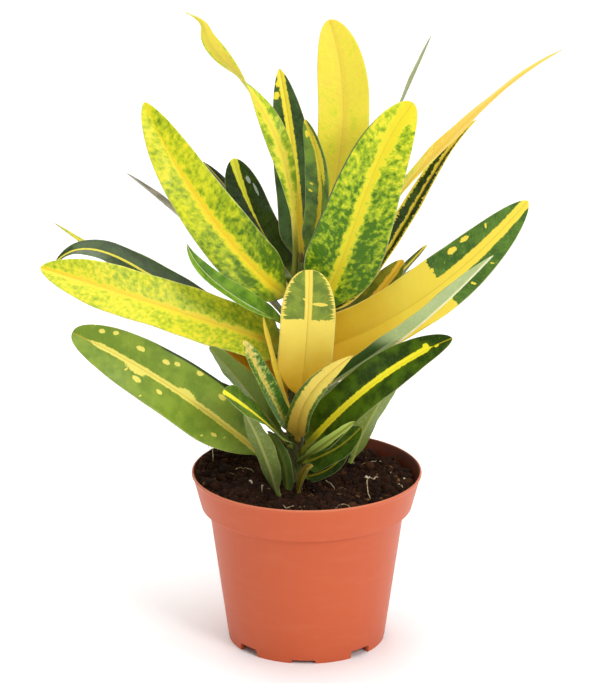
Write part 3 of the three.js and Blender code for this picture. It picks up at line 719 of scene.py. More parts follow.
def leaf_plans() -> list[LeafPlan]:
    """Lists every leaf, from the crown down to those that leave the soil, and then those behind.

    Returns:
        The plans, with the same places and sizes as the solids.
    """
    yellow, lime, green, dark = "leaf_yellow", "leaf_lime", "leaf_green", "leaf_dark"
    return [
        LeafPlan("leaf_crown_young", 203, ((7, -10, 247), (-1, -10, 282)), 16, lime,
            replace(STRIPED, green="6c8a2a", deep="3f5c22", rib=(1.6, 1.0), ragged=0.5, spots=0.3,
                marks=((0.72, 0.4, 0.2, 0.26), (0.9, -0.5, 0.03, 0.25))),
            face=(-0.5, -0.8, 0.2), fold=28, wave=0.4, closes=0.4, stalk=0.05, opens=0.2),
        LeafPlan("leaf_crown_dark", 200, ((-6, 24, 248), (-14, 38, 297)), 22, dark,
            replace(DEEP, green="45602f", deep="2e4622", yellow="f0df3c", rib=(2.0, 2.1), ragged=0.35,
                spots=0.12, marks=((0.87, -0.72, 0.02, 0.28), (0.93, -0.6, 0.02, 0.3),
                (0.72, -0.8, 0.03, 0.12))),
            face=(-0.2, -0.9, 0.3), closes=0.4, blunt=0.7, stalk=0.04, opens=0.18),
        LeafPlan("leaf_crown_ribbon", 198, ((-7, 1, 231), (-12, 1, 259), (-25, 2, 288), (-42, 0, 311),
            (-50, -2, 324), (-60, -4, 335)), 14, yellow,
            replace(SUNLIT, green="a3b52c", deep="7b9a26", lime="cfd43c", yellow="e9da48", warm="e6d048",
                cover=(1.0, 0.34), turn=0.45, blur=0.3, lean=0.2, contrast=1.6, back="c6cc4c", foot="56662a",
                keel="dccf48", line="d6c440", mealy=0.0),
            face=(0.7, 0.2, 0.6), twist=150, fold=6, wave=0.4, closes=0.2, blunt=0.95),
        LeafPlan("leaf_crown_yellow", 196, ((18, 18, 267), (11, 26, 325)), 27, yellow,
            replace(SUNLIT, warm="ecd64a", line="d8bc3c", foot="e0b038"),
            face=(0.1, -1, 0.3), opens=0.5, closes=0.6, blunt=0.5),
        # The strip along its left margin is painted shade.
        LeafPlan("leaf_crown_broad", 172, ((19, -14, 214), (33, -18, 256), (53, -12, 291)), 39, lime,
            replace(FLECKED, green="86a420", deep="4a7414", lime="bcca28", yellow="e8de38", warm="e6d62e",
                cover=(0.92, 0.26), turn=0.72, blur=0.4, rib=(2.2, 2.4), ragged=1.1, contrast=1.9, fleck=2.6,
                shaded_margin=(-0.94, 0.3, 0.9), roll="4c6444"),
            face=(0.2, -0.9, 0.4), wave=1.2, stalk=0.08, opens=0.25, closes=0.2, blunt=0.5),
        # Its glints are painted highlights on the dark wax.
        LeafPlan("leaf_upper_dark", 193, ((-25, 22, 219), (-38, 40, 249)), 20, dark,
            replace(DEEP, green="2a3e12", deep="18290c", yellow="d9d838", rib=(-1.8, 2.3), ragged=0.25,
                gloss=0.22, glints=((0.82, 0.5, 0.03, 0.12), (0.73, 0.66, 0.05, 0.07))),
            face=(-0.1, -0.9, 0.4), stalk=0.04, closes=0.65, opens=0.18),
        LeafPlan("leaf_crown_slim", 189, ((37, 36, 254), (64, 60, 309)), 14, green,
            replace(PLAIN_GREEN, green="98a45c", deep="7b8a4a", back="98a070"),
            face=(-0.85, 0.25, 0.6), blunt=0.8),
        LeafPlan("leaf_upper_behind", 187, ((-30, 34, 219), (-54, 56, 243)), 8, dark,
            replace(DEEP, green="263812", deep="18260c", rib=(-1, -1)),
            face=(0.1, -0.8, 0.5), wave=0.4, closes=0.4, blunt=0.8),
        LeafPlan("leaf_upper_left", 184, ((-35, -8, 213), (-62, -4, 250), (-82, 6, 287)), 30, yellow,
            replace(FLECKED, lime="c4ca20", yellow="e8d82e", warm="eaca28", green="8ea41c",
                cover=(0.92, 0.42), lean=0.12, rib=(2.4, 0.2), ragged=0.8, ends=0.86, taper=0.3,
                contrast=1.3, fleck=2.8),
            face=(0.15, -0.9, 0.4), wave=1.2, stalk=0.05, opens=0.2, closes=0.35, blunt=0.65),
        LeafPlan("leaf_upper_ribbon", 182, ((36, 20, 221), (62, 32, 248), (92, 40, 277), (131, 46, 305)), 16,
            yellow,
            replace(SUNLIT, green="a8b236", lime="d8d240", cover=(1.0, -0.2), turn=0.45, blur=0.25,
                yellow="f0d654", warm="e8c24a"),
            face=(-0.55, -0.1, 0.8), closes=0.35, blunt=0.9),
        LeafPlan("leaf_upper_narrow", 177, ((34, 22, 193), (60, 38, 232), (88, 50, 267)), 12, dark,
            replace(DEEP, rib=(1.3, 0.9), ragged=0.7, spots=0.7, spot_size=3.4, dashes=0.4, yellow="e4d248"),
            face=(-0.5, -0.7, 0.4), fold=28, closes=0.5, blunt=0.8, stalk=0.04, opens=0.18),
        # Its mauve-grey tones are partly the leaf's own colour and partly a painted reflection of the pale
        # surroundings on this edge-on leaf.
        LeafPlan("leaf_upper_edge", 170, ((-53, 44, 204), (-95, 74, 232)), 20, dark,
            replace(DEEP, green="8b826e", deep="625f48", lime="9a9078", rib=(-1, -1), back="9a8f86"),
            face=(0.2, 0.3, 0.9), blunt=0.75, stalk=0.04, opens=0.18),
        # Its pale midrib line tone and its glint are painted highlights along the fold.
        LeafPlan("leaf_left_folded", 170, ((-29, -21, 188), (-49, -27, 205), (-60, -26, 222)), 14, green,
            replace(PLAIN_GREEN, green="7aa02a", deep="4e7a1a", back="74923c", rib=(0.2, 0.1), gloss=0.26,
                line="c3d3ac", shine=0.3, glints=((0.3, -0.1, 0.12, 0.16),)),
            face=(-0.2, -0.5, 0.8), fold=30, wave=0.4, stalk=0.04, opens=0.18, closes=0.2, blunt=0.9),
        LeafPlan("leaf_right_olive", 168, ((23, 13, 170), (50, 24, 199)), 23, green,
            replace(STRIPED, green="8a8a26", deep="5f6a18", yellow="e8bc3c", warm="dca62c", rib=(2.8, 1.8),
                ragged=0.5, spots=0.3),
            face=(-0.2, -0.8, 0.5), opens=0.14, stalk=0.03),
        LeafPlan("leaf_left_arched", 166, ((-53, 22, 172), (-97, 38, 195), (-132, 44, 191)), 22, dark,
            replace(DEEP, green="3e5424", deep="2b3d16", yellow="e6dc48", rib=(1.1, 0.9), ragged=0.1,
                shine=0.2),
            face=(-0.1, -0.2, 1), stalk=0.03, opens=0.14),
        LeafPlan("leaf_right_slim", 166, ((31, 48, 168), (64, 66, 195)), 10, dark,
            replace(DEEP, green="6c7440", deep="4c5628", shine=0.15),
            face=(-0.4, -0.3, 0.8)),
        LeafPlan("leaf_left_yellow", 159, ((-72, -20, 187), (-134, -24, 209)), 28, yellow,
            replace(FLECKED, green="a3b32a", deep="7a9a20", lime="c8cc2c", yellow="e6d636", warm="e8cc38",
                cover=(0.62, 0.44), turn=0.45, blur=0.5, lean=0.12, rib=(1.0, 0.2), ragged=0.6, contrast=1.6,
                fleck=2.4),
            face=(0, -0.75, 0.65), wave=1.2, stalk=0.04, opens=0.08, closes=0.6),
        LeafPlan("leaf_left_behind", 158, ((-51, 34, 165), (-95, 58, 182), (-134, 70, 206)), 12, lime,
            replace(FLECKED, green="8c9038", deep="666e30", yellow="e2d24a", cover=(0.85, 0.5),
                contrast=1.8),
            face=(0, 0.1, 1), blunt=0.8),
        LeafPlan("leaf_right_behind", 154, ((38, 28, 171), (72, 44, 194)), 20, green,
            replace(STRIPED, green="767f48", deep="565f30"),
            face=(-0.3, -0.6, 0.7), stalk=0.05, opens=0.22),
        LeafPlan("leaf_right_long", 156, ((58, -16, 190), (111, -14, 241)), 30, yellow,
            replace(PARTED, green="567a2c", deep="3f6122", turn=0.6, rib=(5.6, 2.6), ragged=0.3,
                line="d8b838", yellow="f2d84a", warm="e3b42a", lime="c0d466", marks=((0.98, 0.0, 0.03, 0.5),
                (0.7, -0.72, 0.02, 0.12), (0.76, -0.8, 0.02, 0.1))),
            face=(0.1, -0.8, 0.6), wave=1, stalk=0.03, opens=0.14, closes=0.5),
        # Its pale back tone is a painted reflection: the grazing sheen of the pale surroundings on the
        # underside.
        LeafPlan("leaf_right_folded", 134, ((33, -33, 163), (63, -60, 197), (90, -74, 230)), 17, green,
            replace(STRIPED, green="6f8f3a", deep="38541e", back="b4c586", foot="9fb45c", gloss=0.26,
                shine=0.3, halved=(1.0, 0.34, 0.5), keel="dfe4c4", mealy=0.35),
            face=(-0.3, 0.5, 0.8), fold=30, stalk=0.07, opens=0.25, blunt=0.8),
        LeafPlan("leaf_middle_yellow", 132, ((-26, 4, 148), (-45, 8, 157)), 16, yellow,
            replace(SUNLIT, yellow="eeb638", warm="e49c28", lime="d0b42c", green="a89828", deep="8c8022",
                cover=(0.3, 0.1), foot="c8902a"),
            face=(0.2, -0.8, 0.6), stalk=0.03, opens=0.14),
        LeafPlan("leaf_front", 130, ((0, -24, 173), (1, -28, 209)), 28, yellow,
            replace(PARTED, turn=0.625, rib=(1.5, 2.0), ragged=0.12, spots=0.25, spot_size=3.2, dashes=0.27,
                yellow="f6dc5c", warm="e8b42c", lime="e6dc70", veins=0.8, marks=((0.74, 0.42, 0.014, 0.3),)),
            face=(0, -1, 0), fold=6, closes=0.6, blunt=0.42, stalk=0.06, opens=0.26),
        LeafPlan("leaf_low_left_behind", 126, ((-44, 6, 134), (-73, 6, 155)), 8, dark,
            DEEP,
            face=(0, -0.4, 0.9)),
        LeafPlan("leaf_front_slim", 121, ((-16, -20, 158), (-22, -28, 184)), 5, yellow,
            replace(SUNLIT, yellow="f0d63c", warm="e8c230", back="ecd84a", foot="c09428", keel="c8b03a"),
            face=(-0.8, 0.2, 0.4), fold=20, wave=0.3),
        LeafPlan("leaf_front_striped", 114, ((-22, -30, 151), (-32, -38, 175)), 11, lime,
            replace(FLECKED, yellow="ead57c", warm="e6c968", lime="b4bd62", green="668a30", deep="426824",
                cover=(1.1, 0.8), rib=(0.2, 1.0), contrast=2.0, fleck=1.8, foot="4e6226"),
            face=(0.5, -0.8, 0.2), fold=30, wave=0.4, stalk=0.03, opens=0.16),
        LeafPlan("leaf_front_beige", 111, ((1, -34, 144), (23, -44, 169)), 13, yellow,
            replace(STRIPED, yellow="ecd25c", warm="e2b64c", green="5a7a28", rib=(5.2, 3.4), ragged=0.5,
                veins=1.2, lime="f0e08a", foot="c8a640", line="c0963c"),
            face=(-0.3, -1, 0.1), opens=0.14, stalk=0.03, closes=0.3, blunt=0.8),
        LeafPlan("leaf_front_turned", 110, ((-31, -18, 143), (-49, -26, 168)), 20, green,
            replace(PLAIN_GREEN, back="7b8c3c", green="5f7c2a", shine=0.12),
            face=(0.5, 0.7, 0.4), stalk=0.08, opens=0.3),
        # The strip along its upper margin is painted shade.
        LeafPlan("leaf_low_left", 90, ((-62, -28, 142), (-118, -34, 178)), 33, green,
            replace(STRIPED, green="849a32", deep="6e8828", rib=(1.7, 1.5), ragged=0.35, ends=0.99,
                taper=0.12, spots=0.12, spot_size=4.4, yellow="e6d964", warm="e2ce52",
                shaded_margin=(0.9, 0.1, 0.72), marks=((0.72, -0.08, 0.05, 0.2), (0.5, 0.06, 0.04, 0.16),
                (0.74, 0.6, 0.018, 0.09), (0.85, 0.8, 0.012, 0.1), (0.9, 0.7, 0.012, 0.12),
                (0.63, 0.6, 0.016, 0.08), (0.59, 0.72, 0.012, 0.07), (0.5, 0.84, 0.014, 0.08),
                (0.38, 0.66, 0.018, 0.08), (0.7, -0.42, 0.02, 0.1), (0.6, -0.37, 0.014, 0.07),
                (0.33, -0.55, 0.014, 0.07))),
            face=(-0.1, -0.8, 0.6), wave=1, opens=0.35, closes=0.4, blunt=0.45, stalk=0.13),
        LeafPlan("leaf_low_curled", 107, ((-25, -37, 134), (-42, -54, 153)), 22, dark,
            replace(DEEP, rib=(1.5, 1.9), green="5e7c26", deep="466620", yellow="efe33c", warm="e6d838",
                line="e0d03a", shine=0.2),
            face=(0.1, -0.5, 0.9), stalk=0.05, opens=0.22, closes=0.6),
        LeafPlan("leaf_low_right", 104, ((34, -44, 155), (72, -56, 182)), 23.5, dark,
            replace(DEEP, green="47640c", deep="283e09", lime="7f9a24", rib=(1.9, 1.6), ragged=0.3, ends=0.9,
                taper=0.08, spots=0.07, line="e8d82a", yellow="f9ec30", warm="f6e42a", shine=0.12,
                gloss=0.42, marks=((0.84, -0.25, 0.02, 0.2), (0.9, 0.1, 0.015, 0.14))),
            face=(0, -0.8, 0.6), stalk=0.03, opens=0.14, closes=0.35),
        LeafPlan("leaf_low_small", 99, ((12, -34, 121), (24, -46, 135)), 6, lime,
            replace(PLAIN_GREEN, green="a4bc4e", deep="8aa83e", back="aac058", shine=0.12),
            face=(0.3, 0.3, 0.9), wave=0.3, stalk=0.05, opens=0.22),
        LeafPlan("leaf_low_dark", 97, ((15, -12, 108), (28, -18, 122)), 15, dark,
            replace(PLAIN_GREEN, green="4a6a1c", deep="2f4a12", line="3f5a22", shine=0.12),
            face=(0, -0.8, 0.6), opens=0.14, stalk=0.03),
        LeafPlan("leaf_low_under", 89, ((12, -6, 95), (22, -6, 107)), 8, dark,
            replace(PLAIN_GREEN, green="3c5624", deep="2a4018", line="3a5222", shine=0.12),
            face=(0, -0.8, 0.6), wave=0.4, stalk=0.03, opens=0.14),
        LeafPlan("leaf_soil_right", (20, 20), ((31, 26, 106), (52, 27, 142)), 22, green,
            replace(PLAIN_GREEN, back="86963f", foot="a2ac50", keel="a3ae5c", mealy=0.3, shine=0.1),
            face=(-0.6, 0.7, 0.3), stalk=0.22),
        LeafPlan("leaf_soil_young", (-5, -15), ((-2, -20, 95), (3, -24, 103)), 6, yellow,
            replace(PLAIN_GREEN, green="98832e", deep="7c6a28", foot="9a6426"),
            face=(-0.6, -0.6, 0.3), fold=30, wave=0.2),
        LeafPlan("leaf_soil_left", (-13, -17), ((-22, -34, 114), (-31, -46, 139)), 13, green,
            replace(PLAIN_GREEN, back="788440", keel="9aa262", mealy=0.25, shine=0.12),
            face=(0.4, 0.9, 0.3), opens=0.3),
        LeafPlan("leaf_soil_narrow", (-10, -12), ((-12, -20, 104), (-20, -24, 122)), 9, green,
            replace(PLAIN_GREEN, back="667a36", shine=0.12),
            face=(0.6, 0.7, 0.3), wave=0.3, stalk=0.08, opens=0.3),
        LeafPlan("leaf_back_1", 179, ((18, 38, 212), (35, 72, 234)), 24, lime,
            FLECKED,
            stalk=0.05, opens=0.22),
        LeafPlan("leaf_back_2", 172, ((-20, 42, 200), (-40, 74, 216)), 24, yellow, SUNLIT),
        LeafPlan("leaf_back_3", 168, ((-2, 42, 194), (1, 76, 208)), 26, green,
            STRIPED,
            stalk=0.06, opens=0.26),
        LeafPlan("leaf_back_4", 151, ((-50, 30, 156), (-90, 56, 162)), 22, green,
            replace(STRIPED, spots=0.3)),
        LeafPlan("leaf_back_5", 137, ((-24, 42, 150), (-46, 75, 147)), 24, lime,
            FLECKED,
            stalk=0.05, opens=0.22),
        LeafPlan("leaf_back_6", 143, ((32, 40, 154), (62, 72, 158)), 25, dark,
            replace(DEEP, shine=0.05, gloss=0.6),
            stalk=0.05, opens=0.22),
        LeafPlan("leaf_back_7", 133, ((16, 42, 146), (35, 74, 145)), 24, yellow,
            replace(PARTED, turn=0.55),
            stalk=0.05, opens=0.22),
        LeafPlan("leaf_back_8", 124, ((-4, 42, 140), (-4, 76, 144)), 24, green,
            STRIPED,
            stalk=0.05, opens=0.22),
        LeafPlan("leaf_back_9", 112, ((-30, 40, 120), (-55, 72, 106)), 24, dark,
            DEEP,
            stalk=0.05, opens=0.22),
        LeafPlan("leaf_back_10", 106, ((16, 38, 120), (38, 68, 112)), 22, green,
            replace(STRIPED, spots=0.3),
            stalk=0.05, opens=0.22),
    ]

@dataclass(frozen=True)
class PeatFinish:
    """The moist dark peat."""

    dark: str = "21120a"
    light: str = "4c2e1a"
    speck: str = "5f452c"

    def material(self) -> Material:
        """Builds the material.

        Returns:
            The material, with lumps and specks in the Object coordinates.
        """
        graph = ShaderGraph("peat")
        lumps = graph.spread(graph.place(), 260, 5.0, 0.7)
        specks = graph.spread(graph.place(), 1400, 2.0, 0.6)
        colour = graph.mix(graph.rise(lumps, 0.35, 0.75), paint(self.dark), paint(self.light))
        colour = graph.tint(colour, self.speck, graph.rise(specks, 0.68, 0.76))
        graph.raise_by(graph.scaled(specks, 0.5, lumps), 0.9, 0.0012)
        return graph.finish(colour, graph.scaled(lumps, -0.3, 1.0), 0.08)


@dataclass(frozen=True)
class StrewnFinish:
    """The tones of what is strewn, which differ from one to the next, the last few being pale."""

    name: str
    dark: str
    light: str
    pale: str
    pale_from: float

    def material(self) -> Material:
        """Builds the material on the random tone of each strewn thing.

        Returns:
            The material.
        """
        graph = ShaderGraph(self.name)
        tone = graph.attribute("tone", "Fac")
        speckle = graph.spread(graph.place(), 900, 3.0, 0.6)
        lit = graph.times(tone, graph.rise(speckle, 0.2, 0.7))
        colour = graph.mix(lit, paint(self.dark), paint(self.light))
        colour = graph.tint(colour, self.pale, graph.math("GREATER_THAN", tone, self.pale_from))
        graph.raise_by(speckle, 0.6, 0.0004)
        return graph.finish(colour, 0.9, 0.12)


@dataclass(frozen=True)
class SpeckledFinish:
    """A dull finish of two tones in fine speckles, which bump raises."""

    name: str
    dark: str
    light: str
    scale: float
    span: tuple[float, float]
    roughness: float
    detail: float = 2.0
    harshness: float = 0.5
    bump: float = 0.0

    def material(self) -> Material:
        """Builds the material.

        Returns:
            The material, in the Object coordinates.
        """
        graph = ShaderGraph(self.name)
        speckle = graph.spread(graph.place(), self.scale, self.detail, self.harshness)
        colour = graph.mix(graph.rise(speckle, *self.span), paint(self.dark), paint(self.light))
        if self.bump:
            graph.raise_by(speckle, self.bump, 0.0003)
        return graph.finish(colour, self.roughness)


class Litter(Enum):
    """What is strewn."""

    CRUMB = "rough crumbs of radius 1, to be scaled to metres"
    FIBRE = "bent fibres, a few millimetres long"


@dataclass
class Strewing:
    """A Geometry Nodes tree that strews crumbs or fibres over a surface.

    density is how many there are to a square metre, and sizes are the least and the greatest.
    """

    name: str
    litter: Litter
    density: float
    seed: int
    sizes: tuple[float, float]
    finish: StrewnFinish
    tone_seed: int = 31
    inputs: dict = field(default_factory=dict)

    def values(self) -> dict[str, float]:
        """Lists the tree's named inputs."""
        smallest, largest = self.sizes
        return {"Density": self.density, "Seed": self.seed, "Smallest": smallest, "Largest": largest}

    def tree(self) -> bpy.types.NodeTree:
        """Builds the tree, with its sizes as named inputs.

        Returns:
            The node group.
        """
        graph = NodeGraph(bpy.data.node_groups.new(self.name, "GeometryNodeTree"))
        sockets = graph.tree.interface
        sockets.new_socket("Surface", in_out="INPUT", socket_type="NodeSocketGeometry")
        for label in self.values():
            kind = "NodeSocketInt" if label == "Seed" else "NodeSocketFloat"
            self.inputs[label] = sockets.new_socket(label, in_out="INPUT", socket_type=kind).identifier
        sockets.new_socket("Strewn", in_out="OUTPUT", socket_type="NodeSocketGeometry")
        given = graph.add("NodeGroupInput").outputs
        points = graph.add("GeometryNodeDistributePointsOnFaces", {
            "Mesh": given["Surface"], "Density": given["Density"], "Seed": given["Seed"]})
        fibres = self.litter is Litter.FIBRE
        shape, low, high = self._fibre(graph) if fibres else self._crumb(graph)
        turn = graph.add("FunctionNodeRandomValue", {0: low, 1: high, "Seed": given["Seed"]},
                         data_type="FLOAT_VECTOR")
        size = graph.add("FunctionNodeRandomValue", {
            2: given["Smallest"], 3: given["Largest"], "Seed": given["Seed"]}, data_type="FLOAT")
        settled = graph.add("GeometryNodeInstanceOnPoints", {
            "Points": points.outputs["Points"], "Instance": shape, "Rotation": turn.outputs[0],
            "Scale": size.outputs[1]})
        tone = graph.add("FunctionNodeRandomValue", {"Seed": self.tone_seed}, data_type="FLOAT")
        kept = graph.add("GeometryNodeStoreNamedAttribute", domain="INSTANCE", inputs={
            "Geometry": settled.outputs["Instances"], "Name": "tone", "Value": tone.outputs[1]})
        real = graph.add("GeometryNodeRealizeInstances", {"Geometry": kept.outputs["Geometry"]})
        strewn = real.outputs["Geometry"]
        if fibres:
            strewn = self._spin_yarn(graph, strewn)
        dressed_up = graph.add("GeometryNodeSetMaterial", {
            "Geometry": strewn, "Material": self.finish.material()})
        graph.add("NodeGroupOutput", {0: dressed_up.outputs["Geometry"]})
        return graph.tree

    def _bent(self, graph: NodeGraph, shape: Socket, scale: float, reach: Point, shift: Point) -> Socket:
        """Moves a shape's points by noise.

        Args:
            graph: the node group.
            shape: the geometry.
            scale: the noise's scale.
            reach: how far the noise moves a point, along each axis.
            shift: what is added to that.

        Returns:
            The bent geometry.
        """
        wind = graph.add("ShaderNodeTexNoise", {"Scale": scale}).outputs["Color"]
        push = graph.add("ShaderNodeVectorMath", {0: wind, 1: reach, 2: shift}, operation="MULTIPLY_ADD")
        return graph.add("GeometryNodeSetPosition", {
            "Geometry": shape, "Offset": push.outputs["Vector"]}).outputs["Geometry"]

    def _crumb(self, graph: NodeGraph) -> tuple[Socket, Point, Point]:
        """Makes one rough crumb of radius 1.

        Args:
            graph: the node group.

        Returns:
            The crumb, and the least and the greatest turn.
        """
        ball = graph.add("GeometryNodeMeshIcoSphere", {"Subdivisions": 2}).outputs["Mesh"]
        rough = self._bent(graph, ball, 1.4, (1.5, 1.2, 1.0), (-0.75, -0.6, -0.5))
        return rough, (0, 0, 0), (6.28, 6.28, 6.28)

    def _fibre(self, graph: NodeGraph) -> tuple[Socket, Point, Point]:
        """Makes one straight fibre, a few millimetres long.

        Args:
            graph: the node group.

        Returns:
            The fibre, and the least and the greatest turn.
        """
        ends = {"Start": (-0.0028, 0, 0.0002), "End": (0.0028, 0, 0.0005)}
        thread = graph.add("GeometryNodeCurvePrimitiveLine", ends).outputs["Curve"]
        parts = graph.add("GeometryNodeResampleCurve", {"Curve": thread, "Count": 9}).outputs["Curve"]
        return parts, (-0.2, -0.2, 0), (0.2, 0.2, 6.28)

    def _spin_yarn(self, graph: NodeGraph, curves: Socket) -> Socket:
        """Bends the fibres and gives them their thickness.

        Args:
            graph: the node group.
            curves: the fibres as straight curves.

        Returns:
            The fibres as meshes.
        """
        bent = self._bent(graph, curves, 260, (0.006, 0.006, 0.0016), (-0.003, -0.003, -0.0005))
        ring = graph.add("GeometryNodeCurvePrimitiveCircle", {"Resolution": 5, "Radius": 0.00013})
        return graph.add("GeometryNodeCurveToMesh", {
            "Curve": bent, "Profile Curve": ring.outputs["Curve"], "Fill Caps": True}).outputs["Mesh"]

    def make(self, surface: Piece) -> Piece:
        """Strews the pieces over a surface and keeps them as one plain mesh.

        Args:
            surface: the helper surface, which becomes the piece.

        Returns:
            The strewn piece.
        """
        modifier = surface.modifiers.new("strew", "NODES")
        modifier.node_group = self.tree()
        for label, value in self.values().items():
            modifier[self.inputs[label]] = value
        surface.name = self.name
        piece = baked(surface)
        piece.data.shade_smooth()
        return piece


def hump(x: float, y: float, at: Spot, spread: float) -> float:
    """Gives how high a round hump is at a place, being 1 at its own spot."""
    return math.exp(-((x - at[0]) ** 2 + (y - at[1]) ** 2) / spread ** 2)


GRAINS = ((31.5, 5.0, 1.5), (51, 3, 1.2), (20.0, -13.5, 1.3), (-29.5, -9.5, 1.4), (38, -8, 0.8),
          (-16, -34, 0.7), (27, 26, 0.9), (-38, -24, 0.7), (8, -40, 0.8), (44, 16, 0.7))
ROOTLETS = (
    (((38.5, 2.5), (35, 0), (32, -7), (31.0, -14), (31.5, -21), (33, -25)), 0.42, 2.4),
    (((47, -6), (49, -12), (50, -17)), 0.4, 1.8),
    (((9.8, -4), (12, -10), (14.5, -17)), 0.36, 2.0),
    (((-22, -16), (-23, -21), (-23, -25)), 0.34, 1.8),
    (((42, 20), (30, 24), (20, 22)), 0.25, 1.0),
    (((-40, 2), (-33, 6), (-27, 3)), 0.25, 1.0),
    (((-49, 8), (-50, 12), (-51.5, 14), (-50, 17)), 0.22, 5.5),
    (((-47, 18), (-44, 20), (-41, 19)), 0.2, 3.5),
    (((12, -46), (18, -44), (22, -47)), 0.28, 0.7),
    (((-14, -43), (-8, -46), (-3, -44)), 0.25, 0.9),
)


@dataclass
class PottingSoil:
    """The peat in the pot, with crumbs, fibres, pale grains and rootlets on it.

    GRAINS are the places and radii of the pale grains, and ROOTLETS the routes, radii and rises of
    the rootlets. side_gap and floor_gap keep the peat off the pot, and brim_gap does at its brim,
    which drops by brim_drop over the last of its radius, from the share brim_from.
    """

    height: float = 86.8
    slope: float = -0.035
    roughness: float = 0.9
    mound: float = 6
    mound_at: Spot = (-45, 20)
    mound_spread: float = 16
    hollow: float = 3.4
    hollow_at: Spot = (-8, -12)
    hollow_spread: float = 15
    brim: float = 57
    brim_gap: float = 0.35
    brim_drop: float = 0.6
    brim_from: float = 0.94
    rim_gap: float = 1
    side_gap: float = 0.6
    floor_gap: float = 0.3
    crumb_height: float = 1.2
    pit_height: float = 0.5
    rings: int = 70
    sides: int = 180
    patch_steps: int = 60
    grain_seed: int = 5
    grain_scale: float = 0.998366
    grain_lumps: float = 0.35
    grain_rise: float = 0.3
    root_steps: int = 26
    root_sides: int = 8
    root_rise: float = 1.0
    root_taper: float = 0.55

    def level(self, x: float, y: float) -> float:
        """Gives the height of the soil, its crumbs left out.

        Args:
            x: the place from left to right, in millimetres.
            y: the place from front to back.

        Returns:
            Millimetres above the ground.
        """
        lumps = math.sin(x * 0.31 + 1.7) * math.cos(y * 0.27) + math.sin(x * 0.17 - y * 0.23)
        return (self.height + self.slope * x + self.mound * hump(x, y, self.mound_at, self.mound_spread)
                - self.hollow * hump(x, y, self.hollow_at, self.hollow_spread) + self.roughness * lumps)

    def surface(self, x: float, y: float) -> float:
        """Gives the height of the crumbled soil.

        Args:
            x: the place from left to right, in millimetres.
            y: the place from front to back.

        Returns:
            Millimetres above the ground.
        """
        crumbs = noise.fractal(Vector((x, y, 3.0)) * 0.2, 0.7, 2.1, 4)
        pits = noise.noise(Vector((x, y, 9.0)) * 0.75)
        return self.level(x, y) + self.crumb_height * crumbs + self.pit_height * pits

    def body(self, pot: "NurseryPot") -> Piece:
        """Makes the soil's closed body, with a crumbled top.

        Args:
            pot: the pot that holds it.

        Returns:
            The soil piece.
        """
        rim = []
        for k in range(self.sides):
            x, y = math.cos(FULL_TURN * k / self.sides), math.sin(FULL_TURN * k / self.sides)
            top = min(self.level(self.brim * x, self.brim * y), pot.height - self.rim_gap)
            rim.append((x, y, pot.inside(top) - self.brim_gap))
        places, faces = [(0, 0, self.surface(0, 0))], []
        for i in range(1, self.rings + 1):
            drop = self.brim_drop * max(0.0, i / self.rings - self.brim_from) / (1 - self.brim_from)
            for x, y, reach in rim:
                u, v = x * reach * i / self.rings, y * reach * i / self.rings
                places.append((u, v, self.surface(u, v) - drop))
        floor = pot.floor_top + self.floor_gap
        for height in (pot.inner_collar_foot, pot.inner_wall_top, floor):
            reach = pot.inside(height) - self.side_gap
            places += [(x * reach, y * reach, height) for x, y, _ in rim]
        places.append((0, 0, floor))
        low = 1 + (self.rings + 2) * self.sides
        for k in range(self.sides):
            after = (k + 1) % self.sides
            faces.append((0, 1 + k, 1 + after))
            for first in range(1, low, self.sides):
                a, b = first + k, first + after
                faces.append((a, a + self.sides, b + self.sides, b))
            faces.append((len(places) - 1, low + after, low + k))
        piece = new_piece("Soil", np.array(places) * MM, faces, PeatFinish().material())
        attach(piece, "root")
        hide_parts("soil")
        return piece

    def patch(self, reach: float) -> Piece:
        """Makes the open top face that crumbs and fibres are strewn on.

        Args:
            reach: its radius in millimetres.

        Returns:
            A helper object, which is used up by the strewing.
        """
        steps, row = self.patch_steps, self.patch_steps + 1
        grid = [2 * i / steps - 1 for i in range(row)]
        spots = [(reach * u * math.sqrt(1 - v * v / 2), reach * v * math.sqrt(1 - u * u / 2))
                 for u in grid for v in grid]
        faces = [(a, a + row, a + row + 1, a + 1)
                 for i in range(steps) for a in range(i * row, i * row + steps)]
        return new_piece("patch", np.array([(x, y, self.surface(x, y)) for x, y in spots]) * MM, faces)

    def strew(self) -> list[Piece]:
        """Strews crumbs and fibres over the soil, and sets the grains and rootlets.

        Returns:
            The pieces on the soil.
        """
        crumb = StrewnFinish("peat_crumb", "20120a", "4c2e1c", "7f5a36", 0.98)
        lump = StrewnFinish("peat_lump", "1e100a", "3c2416", "482c1a", 0.95)
        fibre = StrewnFinish("peat_fibre", "24180f", "5f4329", "a98c64", 0.85)
        pieces = [
            Strewing("Peat_crumbs", Litter.CRUMB, density=520000, seed=7, sizes=(0.0004, 0.0014),
                     finish=crumb).make(self.patch(56)),
            Strewing("Peat_lumps", Litter.CRUMB, density=42000, seed=19, sizes=(0.0014, 0.0031),
                     finish=lump).make(self.patch(54)),
            Strewing("Peat_fibres", Litter.FIBRE, density=40000, seed=11, sizes=(0.5, 1.4),
                     finish=fibre).make(self.patch(53)),
            self.grains(), self.rootlets(),
        ]
        for piece in pieces:
            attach(piece, "root")
        return pieces

